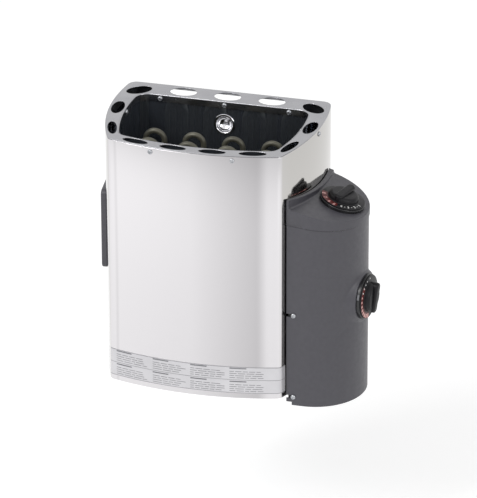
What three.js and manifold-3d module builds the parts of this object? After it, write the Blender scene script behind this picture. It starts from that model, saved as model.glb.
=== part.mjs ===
// Wall-hung electric sauna heater with a side control box, in millimetres, +Z up.
// Seen from the front: +X is the right (control box) side and +Y points into the wall.
// Heights are counted from the casing foot and depths from the casing's back edge;
// the last lines put the origin on the wall face of the bracket.
import * as THREE from "three";
import { mergeVertices } from "three/addons/utils/BufferGeometryUtils.js";
import Module from "manifold-3d";

const wasm = await Module();
wasm.setup();

// Casing
const casingHeight = 380;
const casingHalfWidth = 155.5;
const casingDepth = 219;
const casingWidestAt = 66;
const casingSideRadius = 320;
const casingFrontRadius = 440;
const casingBackCorner = 14;
const casingFrontCorner = 11;
const casingSheet = 1.2;
const casingRearFlange = 20;

// Rim and its air holes
const rimBack = 37;
const rimSide = 26.2;
const rimFront = 20.5;
const rimSheet = 1.2;
const rimSkirt = 14;
const rimBackLip = 5;
const rimBackMargin = 10;
const rimFlange = 11;
const openingWidestAt = 85;
const openingSideRadius = 313;
const openingFrontRadius = 420;
const openingBackCorner = 18;
const openingFrontCorner = 15;
const airHoleLength = 39;
const sideHoleLength = 43;
const cornerHoleWidth = 25;
const cornerHoleTurn = THREE.MathUtils.degToRad(40);
const backHoleMargin = 5;
const sideHoleMargin = 3.3;
const frontHoleMargin = 3.2;
const backHolePitch = 65.8;
const frontHolePitch = 57;
const cornerHoleDepth = 28;
const midHoleDepth = 94;
const frontSideHoleDepth = 164;

// Stone chamber
const linerSheet = 1.2;
const linerFoot = 58;
const linerLedge = 8;
const linerBackTaper = 22;
const linerSideTaper = 6;
const grateHeight = 9;
const grateBar = 4;
const grateClear = 1.2;
const lockCupDrop = 36;
const lockCupRadius = 13;
const lockCupDepth = 10;
const lockCupWall = 1;
const lockCupFlange = 2.6;
const lockCupSteps = 4;

// Heating elements
const elementCount = 3;
const elementBackClear = 56.5;
const elementFrontClear = 38;
const elementSideClear = 15.2;
const elementTubeRadius = 4;
const elementTopDrop = 27;
const elementUpperBend = 13.75;
const elementBendCount = 4;
const elementLowGap = 14;
const elementTail = 14;
const elementCollarRadius = 6.5;
const elementCollarHeight = 5;
const carrierDrop = 12;
const carrierSheet = 2;
const nutHeight = 4;
const nutRadius = 7;

// Foot of the heater
const footSheet = 1.2;
const footRaise = 3;
const footSlotLength = 34;
const footSlotWidth = 9;
const footSlotPitch = 48;
const footSlotRows = 3;
const footSlotRowPitch = 52;

// Wall side
const wallGap = 25;
const railDrop = 30;
const railHeight = 50;
const railSheet = 1.5;
const railHook = 15;
const railInset = 6;
const bracketWidth = 190;
const bracketHeight = 110;
const bracketSheet = 1.5;
const bracketLip = 14;
const spacerRadius = 7;
const spacerHeight = 42;

// Left blanking cover
const blankWidth = 96;
const blankHeight = 123;
const blankStand = 4.8;
const blankWall = 2;
const blankCorner = 8;
const blankDepth = 102;
const blankCentre = 210.5;

// Control box
const boxRadius = 75.6;
const boxFrontInset = 104;
const boxReach = 23.3;
const boxFoot = -13;
const coverWall = 2;
const chassisSheet = 1.5;
const chassisFlange = 15;
const boxFloorSheet = 1.5;
const boxFloorRaise = 4;
const slotHeight = 5;
const slotDepth = 10.2;
const coverScrewHeights = [0, 129.6];
const notchWidth = 8;
const notchHeight = 5;

// Lid
const lidTilt = THREE.MathUtils.degToRad(14.5);
const seamTilt = THREE.MathUtils.degToRad(6.5);
const lidDrop = 90;
const lidSkirt = 22;
const lidOverhang = 1.1;
const lidTop = 3;
const lidRegister = 4;
const lidRegisterWall = 1.8;
const lidLip = 8;
const lidLipThickness = 5;

// Dials
const timerOffset = 39.5;
const thermostatHeight = 142;
const thermostatTurn = THREE.MathUtils.degToRad(8.6);
const bossRise = 0.6;
const bossTopRadius = 36.5;
const bossFootRadius = 48;
const bossRun = 23;
const bossPlate = 2.5;
const bezelRadius = 33;
const bezelHeight = 4.7;
const bezelEdge = 1.2;
const skirtRadius = 31.8;
const skirtThickness = 1.6;
const skirtEdge = 0.5;
const hubRadius = 23;
const hubHeight = 8.5;
const hubTopRadius = 16.5;
const hubShoulderRadius = 20.6;
const hubShoulder = 6;
const gripHeight = 14.3;
const gripLength = 45;
const gripWidth = 13;
const gripBevel = 2.5;
const timerRest = THREE.MathUtils.degToRad(75);
const thermostatRest = THREE.MathUtils.degToRad(80);
const shaftRadius = 3;
const shaftLength = 11;
const bushRadius = 5;
const bushRise = 1.5;
const timerBody = 46;
const timerBodyHeight = 34;
const timerCorner = 4;
const thermostatBodyRadius = 20;
const thermostatBodyHeight = 28;

// Inside the control box
const limiterRadius = 9;
const limiterHeight = 24;
const limiterX = 34;
const limiterSpread = 33;
const buttonRadius = 3;
const buttonOut = 5;
const buttonIn = 8;
const buttonTravel = 2;
const buttonEdge = 1;
const glandRadius = 11;
const glandThread = 7.5;
const glandBore = 4.5;
const glandHeight = 11;
const glandNose = 7.7;
const glandShoulder = 9.3;
const glandThreadOut = 2;
const glandNutHeight = 5;
const glandX = 30;
const glandSpread = 31;
const terminalWidth = 52;
const terminalHeight = 20;
const terminalDepth = 17;
const terminalLevel = 72;
const terminalBays = 5;
const terminalWell = 3.1;
const sleeveRadius = 4;
const sleeveStand = 13;
const sleeveReach = 40;
const sleeveLevel = 26;
const capillaryRadius = 0.8;
const capillaryLevel = 205;
const capillaryStand = 12;
const bulbRadius = 3;
const bulbLength = 60;

// Fasteners and clearances
const screwHeadRadius = 3.6;
const screwHeadHeight = 2.2;
const screwShankRadius = 1.9;
const screwShoulder = 0.75;
const screwCrown = 0.8;
const screwTail = 4;
const casingScrewDrop = 7.6;
const casingScrewX = 59.5;
const sideScrewDepth = 95;
const rimScrewDrop = 6.2;
const rimScrewX = 95.5;
const seatGap = 0.3;
const fitGap = 0.4;
const wallClear = 0.6;
const holeGap = 0.4;
const joinDepth = 0.5;
const drillReach = 20;

const up = new THREE.Vector3(0, 0, 1);

function solid(shape) {
  if (!shape.isBufferGeometry) return shape;
  const loose = shape.index ? shape.toNonIndexed() : shape;
  const bare = new THREE.BufferGeometry().setAttribute("position", loose.getAttribute("position"));
  const merged = mergeVertices(bare, 1e-4);
  return new wasm.Manifold(
    new wasm.Mesh({
      numProp: 3,
      vertProperties: merged.attributes.position.array,
      triVerts: new Uint32Array(merged.index.array),
    }),
  );
}

function geometryOf(made) {
  const mesh = made.getMesh();
  return new THREE.BufferGeometry()
    .setAttribute("position", new THREE.BufferAttribute(mesh.vertProperties, 3))
    .setIndex(new THREE.BufferAttribute(mesh.triVerts, 1));
}

function prism(points, low, high) {
  const shape = new THREE.Shape(points);
  return new THREE.ExtrudeGeometry(shape, { depth: high - low, bevelEnabled: false }).translate(0, 0, low);
}

// A prism with through holes of given outlines.
function pierced(points, low, high, holes) {
  return cut(solid(prism(points, low, high)), holes.map((hole) => prism(hole, low - 1, high + 1)));
}

function block(x0, x1, y0, y1, z0, z1) {
  return new THREE.BoxGeometry(x1 - x0, y1 - y0, z1 - z0).translate(
    (x0 + x1) / 2,
    (y0 + y1) / 2,
    (z0 + z1) / 2,
  );
}

// A bar along X whose section is given in the Y-Z plane.
function barAlongX(section, halfLength) {
  const turned = new THREE.Matrix4().makeBasis(new THREE.Vector3(0, 1, 0), up, new THREE.Vector3(1, 0, 0));
  return prism(section, -halfLength, halfLength).applyMatrix4(turned);
}

function rod(radius, low, high, sides = 16) {
  return new THREE.CylinderGeometry(radius, radius, high - low, sides)
    .rotateX(Math.PI / 2)
    .translate(0, 0, (low + high) / 2);
}

function turned(profile, sides) {
  const points = profile.map(([r, z]) => new THREE.Vector2(r, z));
  return new THREE.LatheGeometry(points, sides).rotateX(Math.PI / 2);
}

function arc(x, y, radius, from, to, steps) {
  return Array.from({ length: steps + 1 }, (_, i) => {
    const a = from + ((to - from) * i) / steps;
    return new THREE.Vector2(x + radius * Math.cos(a), y + radius * Math.sin(a));
  });
}

function ellipse(x, y, long, short, angle, steps = 12) {
  const c = Math.cos(angle);
  const s = Math.sin(angle);
  return arc(0, 0, 1, 0, 2 * Math.PI, steps)
    .slice(0, -1)
    .map((p) => new THREE.Vector2(p.x * long, p.y * short))
    .map((p) => new THREE.Vector2(x + c * p.x - s * p.y, y + s * p.x + c * p.y));
}

function roundedRectangle(halfWidth, halfHeight, radius, steps = 4) {
  const x = halfWidth - radius;
  const y = halfHeight - radius;
  const corners = [
    [x, y],
    [-x, y],
    [-x, -y],
    [x, -y],
  ];
  const quarter = Math.PI / 2;
  return corners.flatMap(([cx, cy], i) => arc(cx, cy, radius, i * quarter, (i + 1) * quarter, steps));
}

function slotOutline(x, y, length, width) {
  const run = (length - width) / 2;
  const quarter = Math.PI / 2;
  return [
    ...arc(x + run, y, width / 2, -quarter, quarter, 2),
    ...arc(x - run, y, width / 2, quarter, 3 * quarter, 2),
  ];
}

// A plan with a straight back, bowed sides and front, and tangent corner rounds.
function bowedPlan({ back, depth, halfWidth, widestAt, sideRadius, frontRadius, backCorner, frontCorner }) {
  const side = new THREE.Vector2(halfWidth - sideRadius, -widestAt);
  const front = new THREE.Vector2(0, frontRadius - depth);
  const rearY = -back - backCorner;
  const rearReach = Math.sqrt((sideRadius - backCorner) ** 2 - (rearY - side.y) ** 2);
  const rear = new THREE.Vector2(side.x + rearReach, rearY);
  const toSide = sideRadius - frontCorner;
  const toFront = frontRadius - frontCorner;
  const between = side.distanceTo(front);
  const along = (toSide ** 2 - toFront ** 2 + between ** 2) / (2 * between);
  const across = Math.sqrt(toSide ** 2 - along ** 2);
  const line = front.clone().sub(side).divideScalar(between);
  const nose = new THREE.Vector2(
    side.x + along * line.x + across * line.y,
    side.y + along * line.y - across * line.x,
  );
  return { back, side, front, rear, nose, sideRadius, frontRadius, backCorner, frontCorner };
}

// The right half outline from the back edge to the front centre, grown outwards by grow.
function halfOutline(plan, grow) {
  const rearAngle = Math.atan2(plan.rear.y - plan.side.y, plan.rear.x - plan.side.x);
  const noseAngle = Math.atan2(plan.nose.y - plan.side.y, plan.nose.x - plan.side.x);
  const frontAngle = Math.atan2(plan.nose.y - plan.front.y, plan.nose.x - plan.front.x);
  const { rear, side, nose, front } = plan;
  return [
    ...arc(rear.x, rear.y, plan.backCorner + grow, Math.PI / 2, rearAngle, 4),
    ...arc(side.x, side.y, plan.sideRadius + grow, rearAngle, noseAngle, 6).slice(1),
    ...arc(nose.x, nose.y, plan.frontCorner + grow, noseAngle, frontAngle, 3).slice(1),
    ...arc(front.x, front.y, plan.frontRadius + grow, frontAngle, -Math.PI / 2, 4).slice(1),
  ];
}

function outline(plan, grow = 0) {
  const right = halfOutline(plan, grow);
  const left = right.slice(0, -1).map((p) => new THREE.Vector2(-p.x, p.y));
  return [...right, ...left.reverse()];
}

function sideX(plan, y) {
  return plan.side.x + Math.sqrt(plan.sideRadius ** 2 - (y - plan.side.y) ** 2);
}

function frontY(plan, x) {
  return plan.front.y - Math.sqrt(plan.frontRadius ** 2 - (x - plan.front.x) ** 2);
}

const casingPlan = bowedPlan({
  back: 0,
  depth: casingDepth,
  halfWidth: casingHalfWidth,
  widestAt: casingWidestAt,
  sideRadius: casingSideRadius,
  frontRadius: casingFrontRadius,
  backCorner: casingBackCorner,
  frontCorner: casingFrontCorner,
});
const openingPlan = bowedPlan({
  back: rimBack,
  depth: casingDepth - rimFront,
  halfWidth: casingHalfWidth - rimSide,
  widestAt: openingWidestAt,
  sideRadius: openingSideRadius,
  frontRadius: openingFrontRadius,
  backCorner: openingBackCorner,
  frontCorner: openingFrontCorner,
});

function frame(origin, x, y, z) {
  return new THREE.Matrix4().makeBasis(x, y, z).setPosition(origin);
}

// A frame whose z axis looks out along a given direction, with y as near upright as it can be.
function outwardFrame(origin, direction) {
  const z = direction.clone().normalize();
  const x = new THREE.Vector3().crossVectors(up, z).normalize();
  return frame(origin, x, new THREE.Vector3().crossVectors(z, x), z);
}

// The frame on a bowed side wall at a depth: its z axis is the wall's outward normal.
function sideFrame(plan, grow, y, height, hand = 1) {
  const angle = Math.asin((y - plan.side.y) / plan.sideRadius);
  const reach = plan.sideRadius + grow;
  const normal = new THREE.Vector3(hand * Math.cos(angle), Math.sin(angle), 0);
  const x = hand * (plan.side.x + reach * Math.cos(angle));
  return outwardFrame(new THREE.Vector3(x, plan.side.y + reach * Math.sin(angle), height), normal);
}

const finishes = {
  polished: { color: 0xd8d8da, roughness: 0.18, metalness: 1 },
  satin: { color: 0xb4b4b6, roughness: 0.35, metalness: 1 },
  dark: { color: 0x3a3c42, roughness: 0.3, metalness: 1 },
  element: { color: 0x8b897b, roughness: 0.55, metalness: 0.7 },
  zinc: { color: 0xa9abae, roughness: 0.45, metalness: 1 },
  graphite: { color: 0x56555a, roughness: 0.5, metalness: 0 },
  black: { color: 0x1b1b1d, roughness: 0.4, metalness: 0 },
  ceramic: { color: 0xe4ddd0, roughness: 0.6, metalness: 0 },
  copper: { color: 0xb5703f, roughness: 0.4, metalness: 1 },
  fibre: { color: 0xd9d4c4, roughness: 0.9, metalness: 0 },
  red: { color: 0xb02a22, roughness: 0.45, metalness: 0 },
};
const heater = new THREE.Group();

function add(name, shape, finish, parent = heater) {
  const geometry = shape.isBufferGeometry ? shape : geometryOf(shape);
  const mesh = new THREE.Mesh(geometry, new THREE.MeshStandardMaterial(finishes[finish]));
  mesh.name = name;
  parent.add(mesh);
  return mesh;
}

// Screws: each has its own frame on the sheet it clamps, with z out of the head.
const screwHoles = { casing: [], rim: [], liner: [], chassis: [], rail: [] };
const screwHole = (at, depth) => rod(screwShankRadius + holeGap, -depth, depth, 8).applyMatrix4(at);

function screw(name, at, length, sheets) {
  const dome = screwHeadHeight + seatGap;
  const profile = [
    [0, -length],
    [screwShankRadius, -length],
    [screwShankRadius, seatGap],
    [screwHeadRadius, seatGap],
    [screwHeadRadius * screwShoulder, seatGap + screwHeadHeight * screwCrown],
    [0, dome],
  ];
  const group = new THREE.Group();
  group.applyMatrix4(at);
  heater.add(group);
  add(name, turned(profile, 8), "zinc", group);
  sheets.forEach((sheet) => screwHoles[sheet].push(screwHole(at, length)));
}

const cut = (made, tools) => tools.reduce((left, tool) => left.subtract(solid(tool)), made);

const rimTop = casingHeight;
const skirtGrow = -(casingSheet + fitGap);
const linerGrow = rimSheet + fitGap + linerSheet;
const chamberHalf = casingHalfWidth - rimSide;

function placeScrews() {
  const casingLevel = casingHeight - casingScrewDrop;
  const casingBite = casingSheet + fitGap + rimSheet + screwTail;
  [-1, 1].forEach((hand) => {
    const side = hand > 0 ? "right" : "left";
    const x = hand * casingScrewX;
    const frontPoint = new THREE.Vector3(x, frontY(casingPlan, x), casingLevel);
    const frontNormal = new THREE.Vector3(x, frontPoint.y - casingPlan.front.y, 0);
    screw(`casing_screw_front_${side}`, outwardFrame(frontPoint, frontNormal), casingBite, ["casing", "rim"]);
    const sideAt = sideFrame(casingPlan, 0, -sideScrewDepth, casingLevel, hand);
    screw(`casing_screw_side_${side}`, sideAt, casingBite, ["casing", "rim"]);
  });
  const rimLevel = rimTop - rimScrewDrop;
  const rimBite = rimSheet + fitGap + linerSheet + screwTail;
  const inward = new THREE.Vector3(0, -1, 0);
  [-1, 0, 1].forEach((i) => {
    const point = new THREE.Vector3(i * rimScrewX, -rimBack, rimLevel);
    screw(`rim_screw_back_${i + 2}`, outwardFrame(point, inward), rimBite, ["rim", "liner"]);
  });
  [-1, 1].forEach((hand) => {
    const at = sideFrame(openingPlan, 0, -sideScrewDepth, rimLevel, hand);
    at.multiply(new THREE.Matrix4().makeRotationY(Math.PI));
    screw(`rim_screw_${hand > 0 ? "right" : "left"}`, at, rimBite, ["rim", "liner"]);
  });
  const flank = boxY - boxRadius;
  const coverBite = coverWall + fitGap + chassisSheet + screwTail;
  coverScrewHeights.forEach((height, i) => {
    const point = new THREE.Vector3(boxX - boxReach + slotDepth, flank, height);
    screw(`cover_screw_${i + 1}`, outwardFrame(point, inward), coverBite, ["chassis"]);
  });
}

// Control box frames
const boxX = casingHalfWidth;
const boxY = boxFrontInset - casingDepth;
const lidHeight = casingHeight - lidDrop;
const tiltedFrame = (height, tilt) => frame(
  new THREE.Vector3(boxX, boxY, height),
  new THREE.Vector3(Math.cos(tilt), 0, -Math.sin(tilt)),
  new THREE.Vector3(0, 1, 0),
  new THREE.Vector3(Math.sin(tilt), 0, Math.cos(tilt)),
);
const lidFrame = tiltedFrame(lidHeight, lidTilt);
const seamFrame = tiltedFrame(lidHeight - lidSkirt, seamTilt);
const timerFrame = lidFrame.clone().multiply(new THREE.Matrix4().makeTranslation(timerOffset, 0, 0));
const bossTop = boxRadius + bossRise;
const thermostatOut = new THREE.Vector3(Math.cos(thermostatTurn), -Math.sin(thermostatTurn), 0);
const thermostatFrame = outwardFrame(
  new THREE.Vector3(boxX, boxY, thermostatHeight).addScaledVector(thermostatOut, bossTop),
  thermostatOut,
);

placeScrews();

// The lead sleeve and the capillary cross the chassis and the casing in these frames.
const sleeveFrame = sideFrame(casingPlan, 0, boxY, sleeveLevel);
const capillaryFrame = sideFrame(casingPlan, 0, boxY, capillaryLevel);

function leadHoles() {
  const sleeveHole = rod(sleeveRadius + holeGap, -drillReach, drillReach, 12);
  const capillaryHole = rod(capillaryRadius + holeGap, -drillReach, drillReach, 8);
  return [sleeveHole.applyMatrix4(sleeveFrame), capillaryHole.applyMatrix4(capillaryFrame)];
}

function outerCasing() {
  const top = casingHeight - rimSheet - seatGap;
  const ring = outline(casingPlan);
  const inside = outline(casingPlan, -casingSheet);
  const wrap = pierced(ring, 0, top, [inside]);
  const gap = casingPlan.rear.x - casingRearFlange;
  const open = wrap.subtract(solid(block(-gap, gap, -2 * casingSheet, casingSheet, -1, casingHeight)));
  return cut(open, [...screwHoles.casing, ...leadHoles()]);
}

function airHoles() {
  const backCentre = -rimBack / 2;
  const long = airHoleLength / 2;
  const backShort = rimBack / 2 - backHoleMargin;
  const holes = [-1, 0, 1].map((i) => ellipse(i * backHolePitch, backCentre, long, backShort, 0));
  const frontShort = rimFront / 2 - frontHoleMargin;
  [-1.5, -0.5, 0.5, 1.5].forEach((i) => {
    const x = i * frontHolePitch;
    const y = (frontY(casingPlan, x) + frontY(openingPlan, x)) / 2;
    holes.push(ellipse(x, y, long, frontShort, Math.asin(x / casingFrontRadius)));
  });
  [-1, 1].forEach((hand) => {
    [midHoleDepth, frontSideHoleDepth].forEach((depth) => {
      const outer = sideX(casingPlan, -depth);
      const inner = sideX(openingPlan, -depth);
      const lean = Math.asin((depth - casingWidestAt) / casingSideRadius);
      const short = ((outer - inner) / 2) * Math.cos(lean) - sideHoleMargin;
      holes.push(ellipse((hand * (outer + inner)) / 2, -depth, short, sideHoleLength / 2, -hand * lean));
    });
    const cornerShort = cornerHoleWidth / 2;
    holes.push(ellipse(hand * chamberHalf, -cornerHoleDepth, long, cornerShort, -hand * cornerHoleTurn));
  });
  return holes;
}

function topRim() {
  const low = rimTop - rimSheet;
  const plate = pierced(outline(casingPlan), low, rimTop, [outline(openingPlan), ...airHoles()]);
  const skirtIn = outline(casingPlan, skirtGrow - rimSheet);
  const skirt = pierced(outline(casingPlan, skirtGrow), rimTop - rimSkirt, low + rimSheet / 2, [skirtIn]);
  const flangeOut = outline(openingPlan, rimSheet);
  const flange = pierced(flangeOut, rimTop - rimFlange, low + rimSheet / 2, [outline(openingPlan)]);
  const backLow = rimTop - rimSkirt - 1;
  const backX = backHolePitch + airHoleLength / 2 + rimBackMargin;
  const backRoom = block(-backX, backX, 2 * (skirtGrow - rimSheet), 0, backLow, rimTop - rimBackLip);
  return cut(plate.add(skirt.subtract(solid(backRoom))).add(flange), screwHoles.rim);
}

// The liner stands round the rim's flange and leans in below it, fully at its foot.
const linerTop = rimTop - rimSheet - seatGap;
const linerBend = rimTop - rimFlange - fitGap;
const linerLean = (z) => Math.max(0, (linerBend - z) / (linerBend - linerFoot));

function linerOutline(z, grow) {
  const lean = linerLean(z);
  return outline(openingPlan, linerGrow + grow).map((p) => {
    const backShare = THREE.MathUtils.clamp((p.y + casingDepth) / casingDepth, 0, 1);
    const backIn = linerBackTaper * backShare ** 2;
    const frontIn = linerSideTaper * (1 - backShare) ** 2;
    const x = p.x * (1 - (lean * linerSideTaper) / chamberHalf);
    return new THREE.Vector3(x, p.y + lean * (frontIn - backIn), z);
  });
}

function loftedRing(rings) {
  const count = rings[0].length;
  const positions = rings.flat().flatMap((p) => [p.x, p.y, p.z]);
  const faces = [];
  rings.forEach((_, k) => {
    const next = (k + 1) % rings.length;
    for (let i = 0; i < count; i++) {
      const j = (i + 1) % count;
      const [a, b] = [k * count + i, k * count + j];
      const [c, d] = [next * count + i, next * count + j];
      faces.push(a, b, d, a, d, c);
    }
  });
  return new THREE.BufferGeometry()
    .setAttribute("position", new THREE.Float32BufferAttribute(positions, 3))
    .setIndex(faces);
}

const flat = (ring) => ring.map((p) => new THREE.Vector2(p.x, p.y));

// The back wall of the liner at the lock cup, with the normal that looks into the chamber.
const cupLevel = rimTop - lockCupDrop;
const backWallY = (z) => linerOutline(z, -linerSheet)[0].y;
const cupNormal = new THREE.Vector3(0, linerFoot - linerBend, backWallY(linerBend) - backWallY(linerFoot));
const cupFrame = outwardFrame(new THREE.Vector3(0, backWallY(cupLevel), cupLevel), cupNormal);

function stoneLiner() {
  const levels = [linerTop, linerBend, linerFoot];
  const outer = levels.map((z) => linerOutline(z, 0));
  const inner = levels.map((z) => linerOutline(z, -linerSheet)).reverse();
  const walls = loftedRing([...outer, ...inner]);
  const ledgeIn = flat(linerOutline(linerFoot, -linerLedge));
  const ledgeOut = flat(linerOutline(linerFoot, -linerSheet / 2));
  const ledge = pierced(ledgeOut, linerFoot, linerFoot + linerSheet, [ledgeIn]);
  const cupHole = rod(lockCupRadius + holeGap, -lockCupDepth, lockCupDepth, 14).applyMatrix4(cupFrame);
  return cut(solid(walls).add(ledge), [...screwHoles.liner, cupHole]);
}

function lockCup() {
  const bottom = -lockCupDepth;
  const shank = screwShankRadius + holeGap;
  const profile = [[shank, bottom - lockCupWall]];
  const bowl = (radius, floor, from, to) => {
    for (let i = from; i !== to; i += Math.sign(to - from)) {
      const a = (i / lockCupSteps) * (Math.PI / 2);
      profile.push([Math.max(radius * Math.sin(a), shank), seatGap + (floor - seatGap) * Math.cos(a)]);
    }
  };
  bowl(lockCupRadius, bottom - lockCupWall, 1, lockCupSteps);
  profile.push([lockCupRadius, seatGap], [lockCupRadius + lockCupFlange, seatGap]);
  profile.push([lockCupRadius + lockCupFlange, seatGap + lockCupWall]);
  profile.push([lockCupRadius - lockCupWall, seatGap + lockCupWall]);
  bowl(lockCupRadius - lockCupWall, bottom, lockCupSteps - 1, 0);
  profile.push([shank, bottom], profile[0]);
  return turned(profile, 12);
}

// Heating elements: one unbroken tube each, up and down in bends of two widths.
const elementTop = rimTop - elementTopDrop - elementTubeRadius;
const grateTop = linerFoot + linerSheet + seatGap + grateHeight;
const elementLow = grateTop + elementLowGap;
const carrierTop = linerFoot - carrierDrop;
const tailEnd = carrierTop - carrierSheet - nutHeight - seatGap - elementTail;
const elementRearDepth = rimBack + elementBackClear;
const elementFrontDepth = casingDepth - rimFront - elementFrontClear;
const elementPitch = (elementFrontDepth - elementRearDepth) / (elementCount - 1);
const linerFootShare = 1 - linerSideTaper / chamberHalf;
const linerFootHalf = (sideX(openingPlan, -elementFrontDepth) + linerGrow - linerSheet) * linerFootShare;
const elementEndX = linerFootHalf - elementSideClear;
const elementSpan = 2 * (elementEndX - elementUpperBend);
const elementBendPitch = elementSpan / (elementBendCount - 1);
const lowerBend = elementBendPitch / 2 - elementUpperBend;

function elementPath() {
  const points = [new THREE.Vector2(-elementEndX, tailEnd)];
  for (let i = 0; i < elementBendCount; i++) {
    const x = -elementSpan / 2 + i * elementBendPitch;
    points.push(...arc(x, elementTop - elementUpperBend, elementUpperBend, Math.PI, 0, 5));
    if (i < elementBendCount - 1) {
      const lowX = x + elementBendPitch / 2;
      points.push(...arc(lowX, elementLow + lowerBend, lowerBend, -Math.PI, 0, 4));
    }
  }
  points.push(new THREE.Vector2(elementEndX, tailEnd));
  return points;
}

// A round tube along a plane path, with mitred rings and flat ends.
function tubeInPlane(path, radius, sides) {
  const rings = path.map((p, i) => {
    const before = path[Math.max(i - 1, 0)];
    const after = path[Math.min(i + 1, path.length - 1)];
    const normal = after.clone().sub(before).normalize().rotateAround(new THREE.Vector2(), -Math.PI / 2);
    return arc(0, 0, radius, 0, 2 * Math.PI, sides)
      .slice(0, -1)
      .map((q) => new THREE.Vector3(p.x + normal.x * q.x, q.y, p.y + normal.y * q.x));
  });
  return tubeOfRings(rings);
}

function tubeOfRings(rings) {
  const sides = rings[0].length;
  const positions = rings.flat().flatMap((p) => [p.x, p.y, p.z]);
  const faces = [];
  for (let k = 0; k + 1 < rings.length; k++) {
    for (let i = 0; i < sides; i++) {
      const j = (i + 1) % sides;
      const [a, b] = [k * sides + i, k * sides + j];
      faces.push(a, b, b + sides, a, b + sides, a + sides);
    }
  }
  const last = (rings.length - 1) * sides;
  for (let i = 1; i + 1 < sides; i++) {
    faces.push(0, i + 1, i);
    faces.push(last, last + i, last + i + 1);
  }
  return new THREE.BufferGeometry()
    .setAttribute("position", new THREE.Float32BufferAttribute(positions, 3))
    .setIndex(faces);
}

// A round tube along a curve in space.
function tubeInSpace(curve, radius, sides, steps) {
  const frames = curve.computeFrenetFrames(steps);
  const rings = Array.from({ length: steps + 1 }, (_, k) => {
    const centre = curve.getPointAt(k / steps);
    const [across, along] = [frames.normals[k], frames.binormals[k]];
    return arc(0, 0, radius, 0, 2 * Math.PI, sides)
      .slice(0, -1)
      .map((q) => centre.clone().addScaledVector(across, q.x).addScaledVector(along, q.y));
  });
  return tubeOfRings(rings);
}

const elementY = (i) => -(elementRearDepth + (elementCount - 1 - i) * elementPitch);

function heatingElement() {
  const tube = solid(tubeInPlane(elementPath(), elementTubeRadius, 8));
  const low = carrierTop + seatGap;
  const collars = [-1, 1].map((hand) =>
    rod(elementCollarRadius, low, low + elementCollarHeight, 8).translate(hand * elementEndX, 0, 0),
  );
  return collars.reduce((left, collar) => left.add(solid(collar)), tube);
}

function hexagon(radius) {
  return arc(0, 0, radius, 0, 2 * Math.PI, 6).slice(0, -1);
}

function addElements() {
  const names = ["front", "middle", "rear"];
  names.slice(0, elementCount).forEach((name, i) => {
    const row = new THREE.Group();
    row.position.y = elementY(i);
    heater.add(row);
    add(`heating_element_${name}`, heatingElement(), "element", row);
    [-1, 1].forEach((hand) => {
      const high = carrierTop - carrierSheet - seatGap;
      const bore = arc(0, 0, elementTubeRadius + holeGap, 0, 2 * Math.PI, 8).slice(0, -1);
      const nut = pierced(hexagon(nutRadius), high - nutHeight, high, [bore]);
      const mesh = add(`element_nut_${name}_${hand > 0 ? "right" : "left"}`, nut, "zinc", row);
      mesh.position.x = hand * elementEndX;
    });
  });
}

function elementCarrier() {
  const ring = flat(linerOutline(linerFoot, -linerSheet));
  const holes = [];
  for (let i = 0; i < elementCount; i++) {
    [-1, 1].forEach((hand) => {
      const bore = elementTubeRadius + holeGap;
      holes.push(arc(hand * elementEndX, elementY(i), bore, 0, 2 * Math.PI, 8).slice(0, -1));
    });
    const window = slotOutline(0, elementY(i), 2 * (elementEndX - 3 * elementCollarRadius), elementPitch / 2);
    holes.push(window);
  }
  const low = carrierTop - carrierSheet;
  const plate = pierced(ring, low, carrierTop, holes);
  const rimIn = flat(linerOutline(linerFoot, -linerSheet - carrierSheet));
  const wall = pierced(ring, low + carrierSheet / 2, linerFoot - seatGap, [rimIn]);
  return plate.add(wall);
}

function stoneGrate() {
  const low = linerFoot + linerSheet + seatGap;
  const ring = (inset) => flat(linerOutline(linerFoot, -linerSheet - grateClear - inset));
  const barLow = low + joinDepth;
  const barTop = grateTop - joinDepth;
  const inside = solid(prism(ring(grateBar / 2), barLow, barTop));
  const half = grateBar / 2;
  const bars = [];
  for (let i = 0; i <= elementCount; i++) {
    const y = elementY(i) - elementPitch / 2;
    bars.push(block(-casingHalfWidth, casingHalfWidth, y - half, y + half, low, grateTop));
  }
  [-1, 1].forEach((hand) => {
    const x = hand * elementBendPitch;
    bars.push(block(x - half, x + half, -casingDepth, 0, low, grateTop));
  });
  return bars
    .map((bar) => solid(bar).intersect(inside))
    .reduce((left, bar) => left.add(bar), pierced(ring(0), low, grateTop, [ring(grateBar)]));
}

function footPlate() {
  const slots = [];
  for (let row = 0; row < footSlotRows; row++) {
    const y = -casingDepth / 2 + (row - (footSlotRows - 1) / 2) * footSlotRowPitch;
    const half = sideX(casingPlan, y) - footSlotLength;
    const count = Math.floor(half / footSlotPitch);
    for (let i = -count; i <= count; i++) {
      slots.push(slotOutline(i * footSlotPitch, y, footSlotLength, footSlotWidth));
    }
  }
  return pierced(outline(casingPlan, -casingSheet - fitGap), footRaise, footRaise + footSheet, slots);
}

// Wall side: the rail's hook sits over the bracket's upturned lip.
const railTop = casingHeight - railDrop;
const hookIn = railHook - railSheet - seatGap;

function rearRail() {
  const front = seatGap;
  const back = front + railSheet;
  const section = [
    [front, railTop - railHeight],
    [back, railTop - railHeight],
    [back, railTop - railSheet],
    [railHook - railSheet, railTop - railSheet],
    [railHook - railSheet, railTop - bracketLip],
    [railHook, railTop - bracketLip],
    [railHook, railTop],
    [front, railTop],
  ].map(([y, z]) => new THREE.Vector2(y, z));
  const rail = solid(barAlongX(section, casingPlan.rear.x - railInset));
  const stay = rod(screwShankRadius + holeGap, -3 * wallGap, 3 * wallGap, 10).applyMatrix4(cupFrame);
  return rail.subtract(solid(stay));
}

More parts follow.
